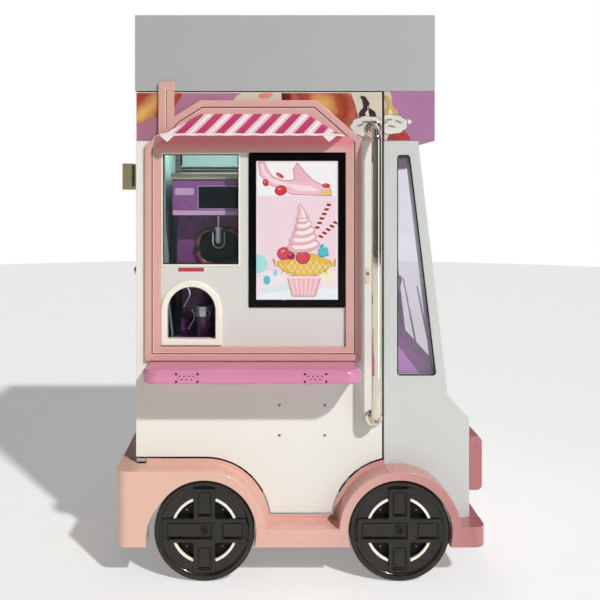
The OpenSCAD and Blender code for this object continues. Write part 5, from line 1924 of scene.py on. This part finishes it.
@dataclass
class Machine:
    """The soft-serve machine and what shows round it through the window.

    Args:
        inset_x: left edge and right edge of the dark inset, from the head's left edge.
        inset_z: lower and upper edge of the inset, from the head's lower edge.
        mouth: half width, half height and squareness of the chamber's mouth.
    """

    inset_x: Pair = (0.106, 0.30)
    inset_z: Pair = (0.030, 0.118)
    mouth: tuple[float, float, float] = (0.079, 0.064, 3.2)
    body: str = "body"

    def build(self) -> None:
        """Builds the machine and its surroundings."""
        soft_copy("machine_head", self.body, PURPLE, 0.006, 3)
        soft_copy("machine_cabinet", self.body, PLUM, 0.004, 2)
        dress({"display_cell": TEAL, "cup_holder": STEEL})
        self.head_trim()
        self.chamber()
        self.nozzle()
        self.cell_trim()
        self.bay_trim()

    def head_trim(self) -> None:
        """A dark inset in a light border, a blank plate, a light lower rim and an olive cap."""
        box = Box.of("machine_head")
        out, x0, z0 = -box.y0, box.x0, box.z0
        pane = rect(
            x0 + self.inset_x[0], z0 + self.inset_z[0], x0 + self.inset_x[1], z0 + self.inset_z[1], 0.003
        )
        shell = Shell().slab([inset(pane, -0.0035), pane], out, out + 0.003, LILAC, 0.001)
        shell.slab([pane], out, out + 0.0012, GLOSS, 0.0005, 2)
        plate = rect(x0 + 0.012, z0 + 0.084, x0 + 0.088, z0 + 0.112, 0.002)
        shell.slab([plate], out, out + 0.001, LILAC, 0.0004, 2)
        shell.slab(
            [rect(x0 + 0.004, z0 + 0.004, box.x1 - 0.004, z0 + 0.022, 0.002)], out, out + 0.002, LILAC,
            0.001, 2,
        )
        cap = rect(x0 - 0.004, box.y0 - 0.006, box.x1, box.y1 - 0.004, 0.004)
        shell.slab([cap], box.z1, box.z1 + 0.024, OLIVE, 0.004, facing=Facing.UP)
        shell.piece("machine_head_trim", self.body)

    def chamber(self) -> None:
        """The round mouth of the freezing chamber: a moulded rim with lugs round a dark disc."""
        box, cup = Box.of("machine_cabinet"), Box.of("dispenser_nozzle")
        u, v, out = cup.centre[0], cup.z1 - 0.129, -box.y0
        turn = np.linspace(0, 2 * math.pi, 64, endpoint=False)
        wide, high, power = self.mouth
        square = (np.abs(np.cos(turn)) ** power + np.abs(np.sin(turn)) ** power) ** (-1 / power)
        outline = np.stack([u + wide * square * np.cos(turn), v + high * square * np.sin(turn)], 1)
        shell = Shell().slab([inset(outline, -0.017), outline], out, out + 0.014, CHAMBER, 0.006)
        shell.slab([outline], out - 0.001, out + 0.002, GLOSS, 0.0005, 2)
        ring = (outline - [u, v]) * 0.82 + [u, v]
        shell.slab([ring, inset(ring, 0.004)], out + 0.001, out + 0.0045, RUBBER, 0.001)
        for side in (-1, 1):
            lug = rect(-0.010, -0.011, 0.010, 0.011, 0.004) + [u + side * 0.088, v - 0.004]
            shell.slab([lug], out, out + 0.022, BLACK_AND_HOLE_SHADE, 0.003)
        shell.piece("chamber_mouth", self.body)

    def nozzle(self) -> None:
        """White tube, flared steel collar, steel spout, and a hose that loops under it."""
        box = Box.of("dispenser_nozzle")
        x, y = box.centre[0], box.centre[1]
        shell = Shell().lathe(
            [(0.0, box.z1), (0.0045, box.z1), (0.0045, box.z1 - 0.052), (0.0, box.z1 - 0.052)][::-1], x, y,
            TUBE, 24, facing=Facing.UP,
        )
        spout = [
            (0.0, box.z0), (0.009, box.z0), (0.0108, box.z0 + 0.002), (0.012, box.z0 + 0.006),
            (0.012, box.z0 + 0.045), (0.016, box.z0 + 0.062), (0.016, box.z0 + 0.064),
            (0.0, box.z0 + 0.064),
        ]
        shell.lathe(spout, x, y, JAMB, 32, facing=Facing.UP)
        arc = arc_points((x, box.z0 + 0.004), 0.0235, 180, 360, 20)
        line = np.concatenate([[[x - 0.0235, box.z0 + 0.045]], arc, [[x + 0.0235, box.z0 + 0.045]]])
        path = np.column_stack([line[:, 0], np.full(len(line), y + 0.012), line[:, 1]])
        shell.tube(path, 0.0028, (0, 1, 0), TUBE, 12)
        shell.piece("nozzle_set", self.body, ("dispenser_nozzle",))

    def cell_trim(self) -> None:
        """A steel post, a dark seam and level rails behind the window."""
        head, cell = Box.of("machine_head"), Box.of("display_cell")
        out, x0 = -head.y0 - 0.012, head.x0
        shell = Shell()
        shell.slab(
            [rect(x0 + 0.012, head.z1 + 0.020, x0 + 0.032, cell.z1 - 0.013)], out - 0.03, out, STEEL, 0.002
        )
        shell.slab(
            [rect(x0 + 0.033, head.z1 + 0.055, x0 + 0.038, cell.z1 - 0.013)], out - 0.03, out - 0.002,
            RUBBER, 0.001,
        )
        x1 = head.x1 + 0.02
        for v, h, finish in (
            (0.048, 0.005, JAMB), (0.043, 0.004, RUBBER), (0.037, 0.005, JAMB), (0.031, 0.005, RUBBER),
            (0.025, 0.005, HATCH),
        ):
            shell.slab(
                [rect(x0 + 0.034, head.z1 + v, x1, head.z1 + v + h)], out - 0.04, out - 0.004, finish,
                0.0015,
            )
        shell.piece("cell_rails", self.body)

    def bay_trim(self) -> None:
        """A steel cap over a plum cup on the holder, and two pale curved pipes behind them."""
        holder = Box.of("cup_holder")
        x, y, z = holder.centre[0], holder.y0 + 0.035, holder.z1
        cap = [
            (0.0, z - 0.041), (0.034, z - 0.041), (0.036, z - 0.038), (0.036, z - 0.012),
            (0.0375, z - 0.010), (0.0375, z), (0.035, z + 0.003), (0.0, z + 0.003),
        ]
        shell = Shell().lathe(cap, x, y, STEEL, 48, facing=Facing.UP)
        cup = [(0.0, z - 0.15), (0.024, z - 0.15), (0.030, z - 0.045), (0.030, z - 0.04), (0.0, z - 0.04)]
        shell.lathe(cup, x, y, PLUM, 36, facing=Facing.UP)
        for dx, top, low in ((-0.072, 0.075, -0.01), (-0.052, -0.02, -0.10)):
            t = np.linspace(0, 1, 12)
            path = np.stack(
                [x + dx + 0.012 * np.sin(t * 4.5), np.full(12, y + 0.03), z + top + (low - top) * t], 1
            )
            shell.tube(path, 0.003, (0, 1, 0), TUBE, 10)
        shell.piece("cup_and_pipes", self.body)


@dataclass
class Studio:
    """Floor, lights and camera.

    Args:
        eye: the camera's place from the middle of the model's footprint.
        lens: focal length on a 36 mm sensor.
        shift: sideways and upward shift of the lens.
        travel: direction in which the key light travels.
        daylight: strength of the surroundings.
        rise: colours of the surroundings from straight below to straight above.
        cards: brightness across them from the rear to the front, as of white and black cards.
    """

    eye: tuple[float, float, float] = (-0.1655, -3.641, 1.483)
    lens: float = 49.23
    shift: Pair = (0.07, -0.1817)
    travel: tuple[float, float, float] = (-0.68, 1.0, -1.03)
    daylight: float = 0.28
    rise: tuple[tuple[float, tuple[float, ...]], ...] = (
        (0.0, (0.25, 0.25, 0.26)), (0.46, (0.40, 0.40, 0.41)), (0.52, (0.62, 0.62, 0.63)),
        (0.7, (0.52, 0.53, 0.55)), (1.0, (0.78, 0.80, 0.84)),
    )
    cards: tuple[Pair, ...] = (
        (0.0, 1.0), (0.22, 1.25), (0.30, 0.15), (0.42, 0.22), (0.47, 1.5), (0.56, 1.5),
        (0.62, 0.12), (0.72, 0.2), (0.78, 1.7), (0.9, 1.7), (1.0, 0.3),
    )

    def build(self) -> None:
        """Builds the studio."""
        self.floor()
        self.sky()
        self.lamps()
        self.camera()

    def floor(self) -> None:
        """A plain pale floor, a wide disc."""
        wide, top, low = 14.0, -0.0005, -0.02
        shell = Shell().lathe(
            [(0.0, top), (wide, top), (wide, low), (0.0, low)], 0, 0, GROUND, 96, facing=Facing.UP
        )
        mesh = bpy.data.meshes.new("studio_floor")
        mesh.from_pydata(np.concatenate(shell.points), [], shell.faces)
        mesh.materials.append(shell.finishes[0].material())
        ground = bpy.data.objects.new("studio_floor", mesh)
        bpy.context.scene.collection.objects.link(ground)

    def sky(self) -> None:
        """Even pale surroundings, a little darker below, and white behind the object."""
        world = bpy.data.worlds.new("studio")
        bpy.context.scene.world = world
        g = Graph(world, "Generated")
        height, across = (g.spread(g.axis(name), -1.0, 1.0, 0.0, 1.0) for name in "ZX")
        rise = [(at, (*colour, 1)) for at, colour in self.rise]
        cards = [(at, (level, level, level, 1)) for at, level in self.cards]
        colours = {0: 1.0, 6: g.ramp(height, rise), 7: g.ramp(across, cards)}
        colour = g.node("ShaderNodeMix", colours, data_type="RGBA", blend_type="MULTIPLY").outputs[2]
        light = g.node("ShaderNodeBackground", {0: colour, 1: self.daylight}).outputs[0]
        white = g.node("ShaderNodeBackground", {0: (1, 1, 1, 1)}).outputs[0]
        seen = g.node("ShaderNodeLightPath").outputs["Is Camera Ray"]
        both = g.node("ShaderNodeMixShader", {0: seen, 1: light, 2: white}).outputs[0]
        g.node("ShaderNodeOutputWorld", {0: both})

    def lamps(self) -> None:
        """A soft key, a strip for the reflections, and small lamps in the cell and the cab."""
        key = self.lamp("key", "SUN", 2.8, (0, 0, 3), self.travel, (1.0, 0.997, 0.985))
        key.angle = math.radians(2.5)
        cell = Box.of("display_cell")
        over = (cell.centre[0], cell.y0 + 0.08, cell.z1 - 0.03)
        white, cool, violet = (1.0, 1.0, 1.0), (0.92, 1.0, 1.0), (0.94, 0.88, 1.0)
        for name, energy, place, way, colour, sides in (
            ("strip", 9.0, (2.4, -2.6, 1.4), (-1.0, 0.95, -0.05), white, (0.5, 2.6)),
            ("cell lamp", 1.8, over, (0, 0.25, -1), cool, (0.30, 0.06)),
            ("cab lamp", 7.0, (0.385, 0.04, 1.64), (0.12, 0, -1), violet, (0.06, 0.6)),
        ):
            lamp = self.lamp(name, "AREA", energy, place, way, colour)
            lamp.shape, lamp.size, lamp.size_y = "RECTANGLE", *sides

    def lamp(
        self, name: str, kind: str, energy: float, place: tuple[float, ...], way: tuple[float, ...],
        colour: tuple[float, ...],
    ) -> bpy.types.Light:
        """Adds a light.

        Args:
            name: its name.
            kind: Blender's name of its kind.
            energy: its strength.
            place: where it stands.
            way: direction in which it shines.
            colour: its colour.

        Returns:
            The new light.
        """
        light = bpy.data.lights.new(name, kind)
        light.energy, light.color = energy, colour
        lamp = bpy.data.objects.new(name, light)
        lamp.location = place
        lamp.rotation_euler = Vector(way).to_track_quat("-Z", "Y").to_euler()
        bpy.context.scene.collection.objects.link(lamp)
        return light

    def camera(self) -> None:
        """A level camera on the right-hand side, with a shifted lens."""
        data = bpy.data.cameras.new("camera")
        data.lens, data.sensor_width = self.lens, 36.0
        data.shift_x, data.shift_y = self.shift
        data.clip_start, data.clip_end = 0.05, 60.0
        eye = bpy.data.objects.new("camera", data)
        eye.location, eye.rotation_euler = self.eye, (math.radians(90), 0.0, 0.0)
        bpy.context.scene.collection.objects.link(eye)
        bpy.context.scene.camera = eye
        bpy.context.scene.view_settings.view_transform = "Standard"


def main() -> None:
    """Builds the sub-assemblies in order."""
    logging.basicConfig(level=logging.INFO, format="%(name)s: %(message)s")
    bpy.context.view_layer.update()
    Studio().build()
    parts = (
        Chassis(), Wheels(), Skirt(), Bodywork(), ServiceDoor(), HouseFront(), Awning(), Display(),
        Counter(), RearDoor(), Machine(),
    )
    for part in parts:
        log.info("building %s", type(part).__name__)
        part.build()


if __name__ == "__main__":
    main()
